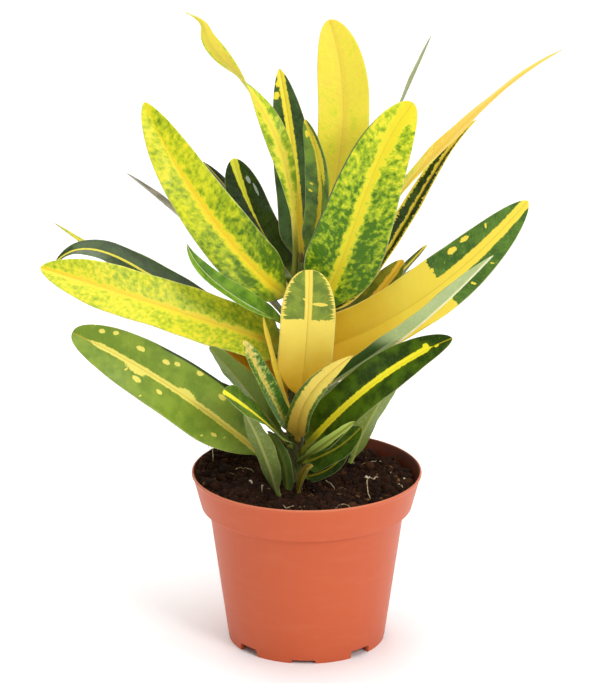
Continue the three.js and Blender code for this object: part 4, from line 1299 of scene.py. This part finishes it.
    def grains(self) -> Piece:
        """Makes the few pale mineral grains on the soil.

        Returns:
            The grains as one piece.
        """
        draw = random.Random(self.grain_seed)
        work = bmesh.new()
        for x, y, size in GRAINS:
            made = bmesh.ops.create_icosphere(work, subdivisions=3, radius=size * MM)["verts"]
            shift = Vector((draw.random(), draw.random(), draw.random())) * 9
            spin = Matrix.Rotation(draw.random() * 3, 3, (0.4, 0.7, 0.6))
            for vertex in made:
                bump = noise.noise(vertex.co * 900 / size + shift) * self.grain_lumps + 1
                vertex.co = spin @ (vertex.co * bump * self.grain_scale)
                vertex.co += Vector((x, y, self.surface(x, y) + self.grain_rise * size)) * MM
        mesh = bpy.data.meshes.new("Perlite_grains")
        work.to_mesh(mesh)
        work.free()
        finish = SpeckledFinish("perlite", "b9a98c", "e9e2cf", 1600, (0.35, 0.6), 0.85, 3.0, 0.6, bump=0.7)
        return dressed("Perlite_grains", mesh, finish.material())

    def rootlets(self) -> Piece:
        """Makes the pale rootlets that lie on the soil and the hairs at its edge.

        Returns:
            The rootlets as one piece.
        """
        t = np.linspace(0, 1, self.root_steps)
        places, faces = [], []
        for run, radius, lift in ROOTLETS:
            if len(run) < 5:
                line = through(run, t)
            else:
                knots = np.linspace(0, 1, len(run))
                line = np.column_stack([np.interp(t, knots, [p[i] for p in run]) for i in (0, 1)])
                for _ in range(3):
                    line[1:-1] = (line[:-2] + 2 * line[1:-1] + line[2:]) / 4
            heights = [self.surface(x, y) + self.root_rise + lift * math.sin(math.pi * s)
                       for (x, y), s in zip(line, t)]
            centres = np.column_stack([line, heights]) * MM
            radii = radius * MM * (1 - self.root_taper * t)
            more, joined = tube_parts(centres, radii, self.root_sides, len(places))
            places += more
            faces += joined
        finish = SpeckledFinish("rootlet", "a88a62", "e0cfae", 500, (0.35, 0.65), 0.75)
        piece = new_piece("Rootlets", places, faces, finish.material())
        face_outwards(piece)
        return piece


@dataclass(frozen=True)
class TerracottaFinish:
    """The satin terracotta-coloured plastic, with flow marks, dust, a painted highlight round the rim's
    top, and inside the collar a dark tone that is part soil dirt and part painted shade.
    """

    base: str = "c4572f"
    light: str = "cb5f37"
    flow: str = "dd7f58"
    dust: str = "a14f30"
    # rim is the tone of the painted highlight round the rim's top.
    rim: str = "e39a78"
    # The dark tone inside the collar, part soil dirt and part painted shade.
    soil_stain_and_shade: str = "35130b"

    def material(self, pot: "NurseryPot") -> Material:
        """Builds the material.

        Args:
            pot: the pot, whose rim and collar it follows.

        Returns:
            The material, in the Object coordinates.
        """
        graph = ShaderGraph("terracotta_plastic")
        place = graph.place()
        x, y, z = graph.parts(place)
        colour = graph.mix(graph.spread(place, 14), paint(self.base), paint(self.light))
        flow = graph.spread(graph.join(graph.times(x, 0.3), graph.times(y, 0.3), z), 190)
        colour = graph.tint(colour, self.flow, graph.rise(flow, 0.45, 0.8), 0.1)
        dust = graph.rise(graph.spread(place, 620, 4.0, 0.7), 0.6, 0.8)
        colour = graph.tint(colour, self.dust, dust, 0.12)
        # Painted highlight: a paler band round the top of the rim.
        colour = graph.tint(colour, self.rim, graph.rise(z, 0.0905, 0.0918), 0.3)
        # Inside the collar above the soil: a dark tone, part soil dirt and part painted shade.
        lean = (pot.rim_radius - pot.collar_foot_radius) / (pot.height - pot.collar_foot)
        level = (pot.collar_foot_radius - lean * pot.collar_foot) * MM
        wall = graph.scaled(z, -lean, graph.math("SQRT", graph.scaled(x, x, graph.times(y, y))))
        inner = graph.times(graph.rise(wall, level - 0.0006, level - 0.0011), graph.rise(z, 0.074, 0.076))
        stain_and_shade_patches = graph.scaled(graph.spread(place, 60, 4.0, 0.65), 0.5, 0.55)
        colour = graph.tint(colour, self.soil_stain_and_shade, graph.times(inner, stain_and_shade_patches))
        graph.raise_by(graph.spread(place, 2400, 2.0, 0.6), 0.06, 0.0003)
        return graph.finish(colour, graph.scaled(flow, 0.1, 0.38), 0.3)


@dataclass
class NurseryPot:
    """A tapered pot with a deep collar and a foot ring cut into teeth.

    lip_round and mouth_round are the points of the rounded rim, the one from its outer edge and
    the other from its inner edge, each as how far in and how far down it is. outer_rows,
    collar_row and inner_rows are more heights where the wall has corners, and notch_insets are
    how far inside a notch's end it has them.
    """

    rim_radius: float = 60
    height: float = 92
    collar_foot: float = 74.2
    collar_foot_radius: float = 55.2
    collar_round: float = 1.3
    wall_top: float = 72.4
    wall_top_radius: float = 51.1
    foot_radius: float = 41.1
    wall: float = 1.2
    step: float = 1.4
    lip: float = 0.8
    lip_round: tuple[Spot, ...] = (
        (1.05, 3.4), (0.8, 2.4), (0.4, 1.9), (0.08, 1.3), (0, 0.8), (0.1, 0.3), (0.4, 0))
    mouth_round: tuple[Spot, ...] = ((-0.3, 0.05), (-0.04, 0.4))
    outer_rows: tuple[float, ...] = (6, 30, 52)
    collar_row: float = 80
    inner_rows: tuple[float, float, float] = (90, 83, 30)
    floor_under: float = 5
    floor_top: float = 6.4
    floor_round: float = 1.2
    floor_rings: tuple[float, ...] = (26.0, 18.0, 0.0)
    notches: int = 8
    notch_width: float = 12.6
    notch_heights: tuple[float, float] = (1.8, 4)
    notch_corner: float = 1.2
    notch_insets: tuple[float, ...] = (0.7, 0.35, 0.12, 0.02, -0.06)
    notch_turn: float = -2.5
    drains: int = 4
    drain_radius: float = 4
    drain_circle: float = 22
    drain_depth: float = 6
    drain_sides: int = 40
    sharp_angle: float = 32
    sides: int = 192

    @property
    def inner_wall_top(self) -> float:
        """Gives the height where the inner wall turns outwards over the step."""
        return self.wall_top + self.step

    @property
    def inner_collar_foot(self) -> float:
        """Gives the height where the inner wall of the collar begins."""
        return self.collar_foot + self.step

    def outside(self, height: float) -> float:
        """Gives the radius of the outer wall, step and roundings left out.

        Args:
            height: millimetres above the ground.

        Returns:
            The radius in millimetres.
        """
        if height > self.collar_foot:
            ends, radii = (self.collar_foot, self.height), (self.collar_foot_radius, self.rim_radius)
        else:
            ends, radii = (0, self.wall_top), (self.foot_radius, self.wall_top_radius)
        return float(np.interp(height, ends, radii))

    def inside(self, height: float) -> float:
        """Gives the radius of the inner wall.

        Args:
            height: millimetres above the ground.

        Returns:
            The radius in millimetres.
        """
        heights = (0, self.inner_wall_top, self.inner_collar_foot, self.height)
        radii = (self.foot_radius, self.wall_top_radius, self.collar_foot_radius, self.rim_radius)
        return float(np.interp(height, heights, radii)) - self.wall

    def collar_edge(self) -> list[Spot]:
        """Lists the corners of the step under the collar and of its rounded lower edge.

        Returns:
            Radii and heights, from below.
        """
        radius, top, bend = self.wall_top_radius, self.wall_top, self.collar_round
        turns = [math.radians(angle) for angle in (-90, -68, -45, -22, 0)]
        return [
            (radius - 0.1, top - 0.7), (radius + 0.03, top - 0.15), (radius + 0.3, top + 0.05),
            *((self.collar_foot_radius - bend + bend * math.cos(a), self.collar_foot + bend * math.sin(a))
              for a in turns),
        ]

    def profile(self) -> list[Spot]:
        """Lists the wall's corners, from the foot over the rim to the floor and under it.

        Returns:
            Radii and heights.
        """
        rim, top, floor = self.rim_radius, self.height, self.floor_top
        mouth, foot = self.inside(top), self.inside(0) - self.lip
        high, middle, low = self.inner_rows
        inner = (high, middle, self.inner_collar_foot, self.inner_wall_top, low)
        return [
            (self.foot_radius - 0.15, 0), (self.foot_radius + 0.02, 0.2),
            *((self.outside(row), row) for row in self.outer_rows), *self.collar_edge(),
            (self.outside(self.collar_row), self.collar_row),
            *((rim - into, top - down) for into, down in self.lip_round),
            *((mouth - into, top - down) for into, down in self.mouth_round),
            *((self.inside(height), height) for height in inner),
            (self.inside(floor), floor + self.floor_round), (self.inside(floor) - self.floor_round, floor),
            *((radius, floor) for radius in self.floor_rings),
            *((radius, self.floor_under) for radius in reversed(self.floor_rings)),
            (self.inside(self.floor_under) - self.lip, self.floor_under), (foot, 0.2), (foot + 0.15, 0),
        ]

    def columns(self) -> list[float]:
        """Lists the angles of the wall's corners, close together at the notches' ends.

        Returns:
            The angles in radians, in order.
        """
        angles = {round(FULL_TURN * k / self.sides, 6) for k in range(self.sides)}
        for i in range(self.notches):
            middle = math.radians(self.notch_turn + i * 360 / self.notches - 90)
            for inset in (self.notch_corner, *self.notch_insets):
                reach = (self.notch_width / 2 - inset) / self.foot_radius
                angles |= {round((middle + sign * reach) % FULL_TURN, 6) for sign in (-1, 1)}
        return sorted(angles)

    def notch(self, angle: float) -> float:
        """Gives how high the foot ring is cut away.

        Args:
            angle: the place round the pot, in radians.

        Returns:
            The cut's height in millimetres, 0 between the notches.
        """
        turn = math.degrees(angle) + 90 - self.notch_turn
        step = 360 / self.notches
        index = round(turn / step)
        off = abs(math.radians(turn - index * step)) * self.foot_radius
        half, corner = self.notch_width / 2, self.notch_corner
        if off > half:
            return 0.0
        into = max(0.0, off - (half - corner))
        return self.notch_heights[index % 2] - corner + math.sqrt(max(0.0, corner ** 2 - into ** 2))

    def build(self) -> Piece:
        """Turns the profile round the axis, cuts the notches and drills the drain holes.

        Returns:
            The pot piece.
        """
        angles = self.columns()
        count = len(angles)
        places, rows, faces = [], [], []
        for radius, height in self.profile():
            if radius == 0:
                rows.append([len(places)])
                places.append((0, 0, height))
                continue
            rows.append(list(range(len(places), len(places) + count)))
            for angle in angles:
                cut = self.notch(angle)
                lift = cut + height if cut and height < 1 else height
                reach = radius + (self.outside(lift) - self.outside(0) if lift != height else 0)
                places.append((reach * math.cos(angle), reach * math.sin(angle), lift))
        for low, high in zip(rows, rows[1:] + rows[:1]):
            if len(low) == len(high) == 1:
                continue
            for k in range(count):
                after = (k + 1) % count
                if len(high) == 1:
                    faces.append((low[k], low[after], high[0]))
                elif len(low) == 1:
                    faces.append((low[0], high[after], high[k]))
                else:
                    faces.append((low[k], low[after], high[after], high[k]))
        piece = new_piece("Pot", np.array(places) * MM, faces, TerracottaFinish().material(self))
        face_outwards(piece)
        self._drill(piece)
        piece.data.set_sharp_from_angle(angle=math.radians(self.sharp_angle))
        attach(piece, "root")
        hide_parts("pot")
        return piece

    def _drill(self, piece: Piece) -> None:
        """Drills the drain holes through the floor.

        Args:
            piece: the pot.
        """
        work = bmesh.new()
        radius = self.drain_radius * MM
        middle = Vector((0, 0, (self.floor_under + self.floor_top) / 2))
        for i in range(self.drains):
            turn = (i + 0.5) * FULL_TURN / self.drains
            spot = Vector((math.cos(turn), math.sin(turn), 0)) * self.drain_circle + middle
            bmesh.ops.create_cone(work, cap_ends=True, segments=self.drain_sides, radius1=radius,
                                  radius2=radius, depth=self.drain_depth * MM,
                                  matrix=Matrix.Translation(spot * MM))
        mesh = bpy.data.meshes.new("drills")
        work.to_mesh(mesh)
        work.free()
        drills = link("drills", mesh)
        cut = piece.modifiers.new("drain", "BOOLEAN")
        cut.object = drills
        cut.solver = "EXACT"
        baked(piece)
        bpy.data.objects.remove(drills)


@dataclass(frozen=True)
class BarkFinish:
    """The green-brown young bark, woody at its foot and pale at the bud."""

    deep: str = "333e1a"
    green: str = "66702f"
    woody: str = "54442c"
    bud: str = "6a5c28"

    def material(self) -> Material:
        """Builds the material.

        Returns:
            The material, in the Object coordinates.
        """
        graph = ShaderGraph("young_bark")
        x, y, z = graph.parts(graph.place())
        streaks = graph.spread(graph.join(x, y, graph.times(z, 0.25)), 900, 4.0, 0.6)
        patches = graph.rise(graph.spread(graph.place(), 130, 3.0, 0.6), 0.4, 0.6)
        colour = graph.mix(graph.rise(streaks, 0.3, 0.7), paint(self.deep), paint(self.green))
        colour = graph.tint(colour, self.woody, graph.times(patches, graph.rise(z, 0.16, 0.1)))
        colour = graph.tint(colour, self.bud, graph.rise(z, 0.2035, 0.208))
        graph.raise_by(streaks, 0.6, 0.0004)
        return graph.finish(colour, 0.6, 0.3)


@dataclass
class LeafStem:
    """The upright stem, swollen under each leaf, with a bud at its tip.

    scales are the bud's scales, each as its turn, its lean and its length. halvings is how often
    the search for a height halves its stretch of the stem.
    """

    axis: tuple[Point, ...] = ((-7.2, -1, 40), (-7, -1, 82), (-4.5, -0.5, 142), (-2, 0, 205))
    radii: tuple[float, ...] = (5, 4.6, 3.9, 2.4)
    sides: int = 28
    rings: int = 150
    uneven: float = 0.18
    swell: float = 0.55
    swell_reach: float = 1.9
    scales: tuple[Point, ...] = ((0.4, 2.0, 8), (2.5, 2.4, 6.5), (4.4, 1.8, 7.5))
    scale_radius: float = 1.1
    scale_sides: int = 8
    scale_steps: int = 9
    halvings: int = 30

    def at(self, height: float) -> tuple[np.ndarray, float]:
        """Finds the stem's centre and radius at a height.

        Args:
            height: millimetres above the ground.

        Returns:
            The centre and the radius in millimetres.
        """
        low, high = 0.0, 1.0
        for _ in range(self.halvings):
            middle = (low + high) / 2
            if through(self.axis, np.array([middle]))[0][2] < height:
                low = middle
            else:
                high = middle
        spot = np.array([low])
        return through(self.axis, spot)[0], through([[r] for r in self.radii], spot)[0][0]

    def lean(self, plan: LeafPlan) -> tuple[np.ndarray, np.ndarray, float]:
        """Finds which way a leaf leaves the stem.

        Args:
            plan: the leaf.

        Returns:
            The level direction, and the stem's centre and radius there.
        """
        centre, radius = self.at(plan.root)
        lean = np.array(plan.points[0], float) - centre
        lean[2] = 0
        return lean / np.linalg.norm(lean), centre, radius

    def build(self, plans: Sequence[LeafPlan]) -> Piece:
        """Sweeps the stem and swells it under each leaf.

        Args:
            plans: the leaves.

        Returns:
            The stem piece.
        """
        feet = [(float(plan.root), self.lean(plan)[0]) for plan in plans if not isinstance(plan.root, tuple)]
        t = np.linspace(0, 1, self.rings)
        centres = through(self.axis, t)
        places, faces = tube_parts(centres, through([[r] for r in self.radii], t)[:, 0], self.sides)
        for index, place in enumerate(places):
            outward = place - centres[index // self.sides]
            outward /= np.linalg.norm(outward)
            swell = self.uneven * noise.noise(Vector(place) * 0.35)
            for height, lean in feet:
                near = math.exp(-((place[2] - height) / self.swell_reach) ** 2)
                swell += self.swell * near * max(0.0, float(outward @ lean)) ** 3
            places[index] = place + outward * swell
        tips = self.bud(len(places))
        piece = new_piece("Stem", np.array(places + tips[0]) * MM, faces + tips[1], BarkFinish().material())
        face_outwards(piece)
        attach(piece, "root")
        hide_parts("stem")
        return piece

    def bud(self, start: int) -> tuple[list, list]:
        """Makes the pointed scales of the bud at the stem's tip.

        Args:
            start: the number of the first vertex.

        Returns:
            The vertices in millimetres and the faces.
        """
        top = np.array(self.axis[-1], float)
        t = np.linspace(0, 1, self.scale_steps)
        places, faces = [], []
        for turn, lean, long in self.scales:
            out = np.array([math.cos(turn), math.sin(turn), 0])
            line = [top - np.array([0, 0, 1.5]) + out * (0.8 + lean * s * s) + np.array([0, 0, long * s])
                    for s in t]
            radii = self.scale_radius * np.sin(math.pi * (0.15 + 0.82 * t))
            more, joined = tube_parts(np.array(line), radii, self.scale_sides, start + len(places))
            places += more
            faces += joined
        return places, faces


@dataclass
class Foliage:
    """All the leaves, built on the stem and in the soil.

    lead is how far a stalk runs on into the stem's swelling, as a share of the leaf. shares are
    the places across half a blade that have a row of points. The margins go up and down in waves
    and finer ripples, given in radians along a blade, and the right margin is phase ahead.
    """

    stem: LeafStem
    soil: PottingSoil
    gap: float = 0.3
    stalk_radius: float = 1.4
    soil_depth: float = 8
    lead: float = 0.012
    steps: int = 64
    twisting: tuple[float, float] = (0.35, 0.8)
    shares: tuple[float, ...] = (0, 0.05, 0.12, 0.24, 0.4, 0.55, 0.7, 0.83, 0.93, 1.0)
    waves: float = 14
    ripples: float = 41
    ripple: float = 0.22
    phase: float = 2.1
    half_thickness: float = 0.3
    margin_thinning: float = 0.16
    groove_width: float = 0.75
    groove_depth: float = 0.3
    keel_depth: float = 0.45
    keel_fade: float = 0.7
    seed_step: float = 13.7

    def foot(self, plan: LeafPlan) -> np.ndarray:
        """Finds where a leaf's stalk starts.

        Args:
            plan: the leaf.

        Returns:
            The point in millimetres, beside the stem or down in the soil.
        """
        if isinstance(plan.root, tuple):
            x, y = plan.root
            return np.array([x, y, self.soil.level(x, y) - self.soil_depth])
        lean, centre, radius = self.stem.lean(plan)
        foot = centre + lean * (radius + self.gap + self.stalk_radius)
        for _ in range(3):
            ahead = heading([foot, *plan.points], np.array([0.0]))[0]
            across = math.sqrt(max(0.0, 1 - float(ahead @ lean) ** 2))
            foot = centre + lean * (radius + self.gap + self.stalk_radius * across)
        return foot

    def half_width(self, plan: LeafPlan, t: np.ndarray) -> np.ndarray:
        """Gives half the blade's width along its length.

        Args:
            plan: the leaf.
            t: places along it.

        Returns:
            The half widths in millimetres.
        """
        s = np.clip((t - plan.stalk) / (1 - plan.stalk), 0, 1)
        opening = np.sin(np.minimum(1, s / plan.opens) * math.pi / 2) ** 0.8
        closing = (1 - (np.maximum(0, s - plan.closes) / (1 - plan.closes)) ** 2) ** plan.blunt
        least = np.full(len(t), self.half_thickness)
        return np.maximum.reduce([self.stalk_radius * (1 - s), plan.width / 2 * opening * closing, least])

    def blade(self, plan: LeafPlan, seed: int) -> Piece:
        """Builds one leaf as a thin closed blade with a grooved midrib and wavy margins.

        Args:
            plan: the leaf.
            seed: the leaf's own number.

        Returns:
            The leaf piece.
        """
        points = [self.foot(plan), *plan.points]
        lead = 0.0 if isinstance(plan.root, tuple) else self.lead
        t = -lead + (1 + lead) * (1 - (1 - np.linspace(0, 1, self.steps + 1)) ** 1.5)
        centres, ahead = through(points, t), heading(points, t)
        along = np.concatenate([[0], np.cumsum(np.linalg.norm(np.diff(centres, axis=0), axis=1))])
        face = np.array(plan.face, float)
        upper = face - ahead * (ahead @ face)[:, None]
        upper /= np.linalg.norm(upper, axis=1, keepdims=True)
        turn = np.radians(plan.twist * (ease(t, *self.twisting) - 0.5))[:, None]
        upper = upper * np.cos(turn) + np.cross(ahead, upper) * np.sin(turn)
        side = np.cross(ahead, upper)
        blade = ease(t, plan.stalk * 0.8, plan.stalk * 2.2)
        fold = np.radians(plan.fold) * blade
        half = self.half_width(plan, t)
        ones = np.ones(len(t))
        tops, lows, strap, share = [], [], [], []
        for v in [-s for s in reversed(self.shares[1:])] + list(self.shares):
            phase = self.phase if v > 0 else 0.0
            wavy = np.sin(t * self.waves + phase) * plan.wave * v * v * blade * (1 - t ** 4)
            finer = np.sin(t * self.ripples + seed + 3 * phase) * v ** 4 * blade * (1 - t ** 6)
            wavy += self.ripple * plan.wave * finer
            lift = half * (math.sqrt(v * v + 0.002) - 0.045) * np.sin(fold) + wavy
            round_stalk = self.stalk_radius * math.sqrt(1 - 0.85 * v * v)
            thick = round_stalk * (1 - blade) + (self.half_thickness - self.margin_thinning * v * v) * blade
            groove = np.exp(-(half * v / self.groove_width) ** 2) * blade
            normal = upper * np.cos(fold)[:, None] - side * (np.sign(v) * np.sin(fold))[:, None]
            place = centres + side * (half * v * np.cos(fold))[:, None] + upper * lift[:, None]
            tops.append(place + normal * (thick - self.groove_depth * groove)[:, None])
            keel = self.keel_depth * groove * (1 - self.keel_fade * t)
            lows.append(place - normal * (thick + keel)[:, None])
            strap.append(np.column_stack([along, half * v, seed * self.seed_step * ones]))
            share.append(np.column_stack([t, v * ones, 0 * ones]))
        return self._skin(plan, tops, lows, strap, share)

    def _skin(self, plan: LeafPlan, tops: list, lows: list, strap: list, share: list) -> Piece:
        """Joins the blade's two faces into a closed mesh and stores its coordinates.

        Args:
            plan: the leaf.
            tops: rows of points on the upper face, one for each place across.
            lows: the same on the underside.
            strap: millimetres along and across, and the seed.
            share: shares along and across, and the side.

        Returns:
            The leaf piece.
        """
        count, long = len(tops), len(tops[0])
        low, last = count * long, (count - 1) * long
        faces = []
        for first in range(0, last, long):
            for a in range(first, first + long - 1):
                b = a + long
                faces += [(a, a + 1, b + 1, b), (low + a, low + b, low + b + 1, low + a + 1)]
        skin = len(faces)
        for i in range(long - 1):
            end = last + i
            faces += [(i + 1, i, low + i, low + i + 1), (end, end + 1, low + end + 1, low + end)]
        for a in range(0, last, long):
            b, tip = a + long, a + long - 1
            faces += [(a, b, low + b, low + a), (tip + long, tip, low + tip, low + tip + long)]
        places = np.concatenate(tops + lows) * MM
        piece = new_piece(plan.name.title(), places, faces, BladeGraph(plan.name, plan.finish).build())
        piece.data.polygons.foreach_set("use_smooth", np.arange(len(faces)) < skin)
        under = [row + np.array([0, 0, 1]) for row in share]
        for name, rows in (("strap", strap + strap), ("share", share + under)):
            store = piece.data.attributes.new(name, "FLOAT_VECTOR", "POINT")
            store.data.foreach_set("vector", np.concatenate(rows).astype(np.float32).ravel())
        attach(piece, "root")
        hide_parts(plan.name)
        return piece

    def build(self, plans: Sequence[LeafPlan]) -> list[Piece]:
        """Builds every leaf, numbered in order from 1."""
        return [self.blade(plan, index + 1) for index, plan in enumerate(plans)]


@dataclass(frozen=True)
class FloorFinish:
    """The plain pale floor's two linear greys."""

    grey: float = 0.95
    light: float = 0.97

    def material(self) -> Material:
        """Builds the material.

        Returns:
            The material, in the Object coordinates.
        """
        graph = ShaderGraph("pale_floor")
        tone = graph.spread(graph.place(), 3)
        return graph.finish(graph.mix(tone, (self.grey,) * 3, (self.light,) * 3), 0.9)


@dataclass(frozen=True)
class SoftLight:
    """A square area light: its place and its side in metres, and its power in watts."""

    name: str
    at: Point
    size: float
    power: float
    aim: Point = (0, 0, 0.18)

    def hang(self) -> None:
        """Hangs the light and turns it to the plant."""
        light = bpy.data.lights.new(self.name, "AREA")
        light.shape = "SQUARE"
        light.size = self.size
        light.energy = self.power
        lamp = link(self.name, light)
        lamp.location = self.at
        lamp.rotation_euler = (Vector(self.aim) - Vector(self.at)).to_track_quat("-Z", "Y").to_euler()


@dataclass
class Studio:
    """The pale floor, the soft lights and the camera."""

    target: Point = (-3.5, 0, 162.2)
    distance: float = 1600
    elevation: float = 17.9
    lens: float = 163.9
    sensor: float = 36
    near: float = 0.05
    floor_size: float = 14.0
    sky: float = 0.42
    lights: tuple[SoftLight, ...] = (
        SoftLight("Top", (0.0, 0.1, 2.3), 2.6, 58),
        SoftLight("Key", (1.15, -1.45, 1.25), 0.6, 17),
        SoftLight("Back", (-0.4, 1.5, 1.2), 1.2, 8),
    )

    def floor(self) -> None:
        """Lays the plain pale floor."""
        half = self.floor_size / 2
        corners = [(-half, -half, 0), (half, -half, 0), (half, half, 0), (-half, half, 0)]
        new_piece("Floor", corners, [(0, 1, 2, 3)], FloorFinish().material())

    def camera(self) -> None:
        """Stands the camera where the photograph was taken."""
        rise = math.radians(self.elevation)
        back = Vector((0, -math.cos(rise), math.sin(rise)))
        lens = bpy.data.cameras.new("Camera")
        lens.lens = self.lens
        lens.sensor_width = self.sensor
        lens.sensor_fit = "AUTO"
        lens.clip_start = self.near
        camera = link("Camera", lens)
        camera.location = Vector(self.target) * MM + back * self.distance * MM
        camera.rotation_euler = (-back).to_track_quat("-Z", "Y").to_euler()
        bpy.context.scene.camera = camera

    def build(self) -> None:
        """Sets up the light, the floor and the camera."""
        world = bpy.data.worlds.new("studio")
        world.use_nodes = True
        sky = world.node_tree.nodes["Background"].inputs
        sky["Color"].default_value = (1, 1, 1, 1)
        sky["Strength"].default_value = self.sky
        bpy.context.scene.world = world
        bpy.context.scene.view_settings.view_transform = "Standard"
        for light in self.lights:
            light.hang()
        self.floor()
        self.camera()


def main() -> None:
    """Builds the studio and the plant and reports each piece."""
    logging.basicConfig(level=logging.INFO, format="%(name)s: %(message)s")
    Studio().build()
    pot, soil, stem, plans = NurseryPot(), PottingSoil(), LeafStem(), leaf_plans()
    pieces = [pot.build(), soil.body(pot), stem.build(plans)]
    pieces += Foliage(stem, soil).build(plans)
    pieces += soil.strew()
    for piece in pieces:
        log.info("%s: %d faces", piece.name, len(piece.data.polygons))


if __name__ == "__main__":
    main()
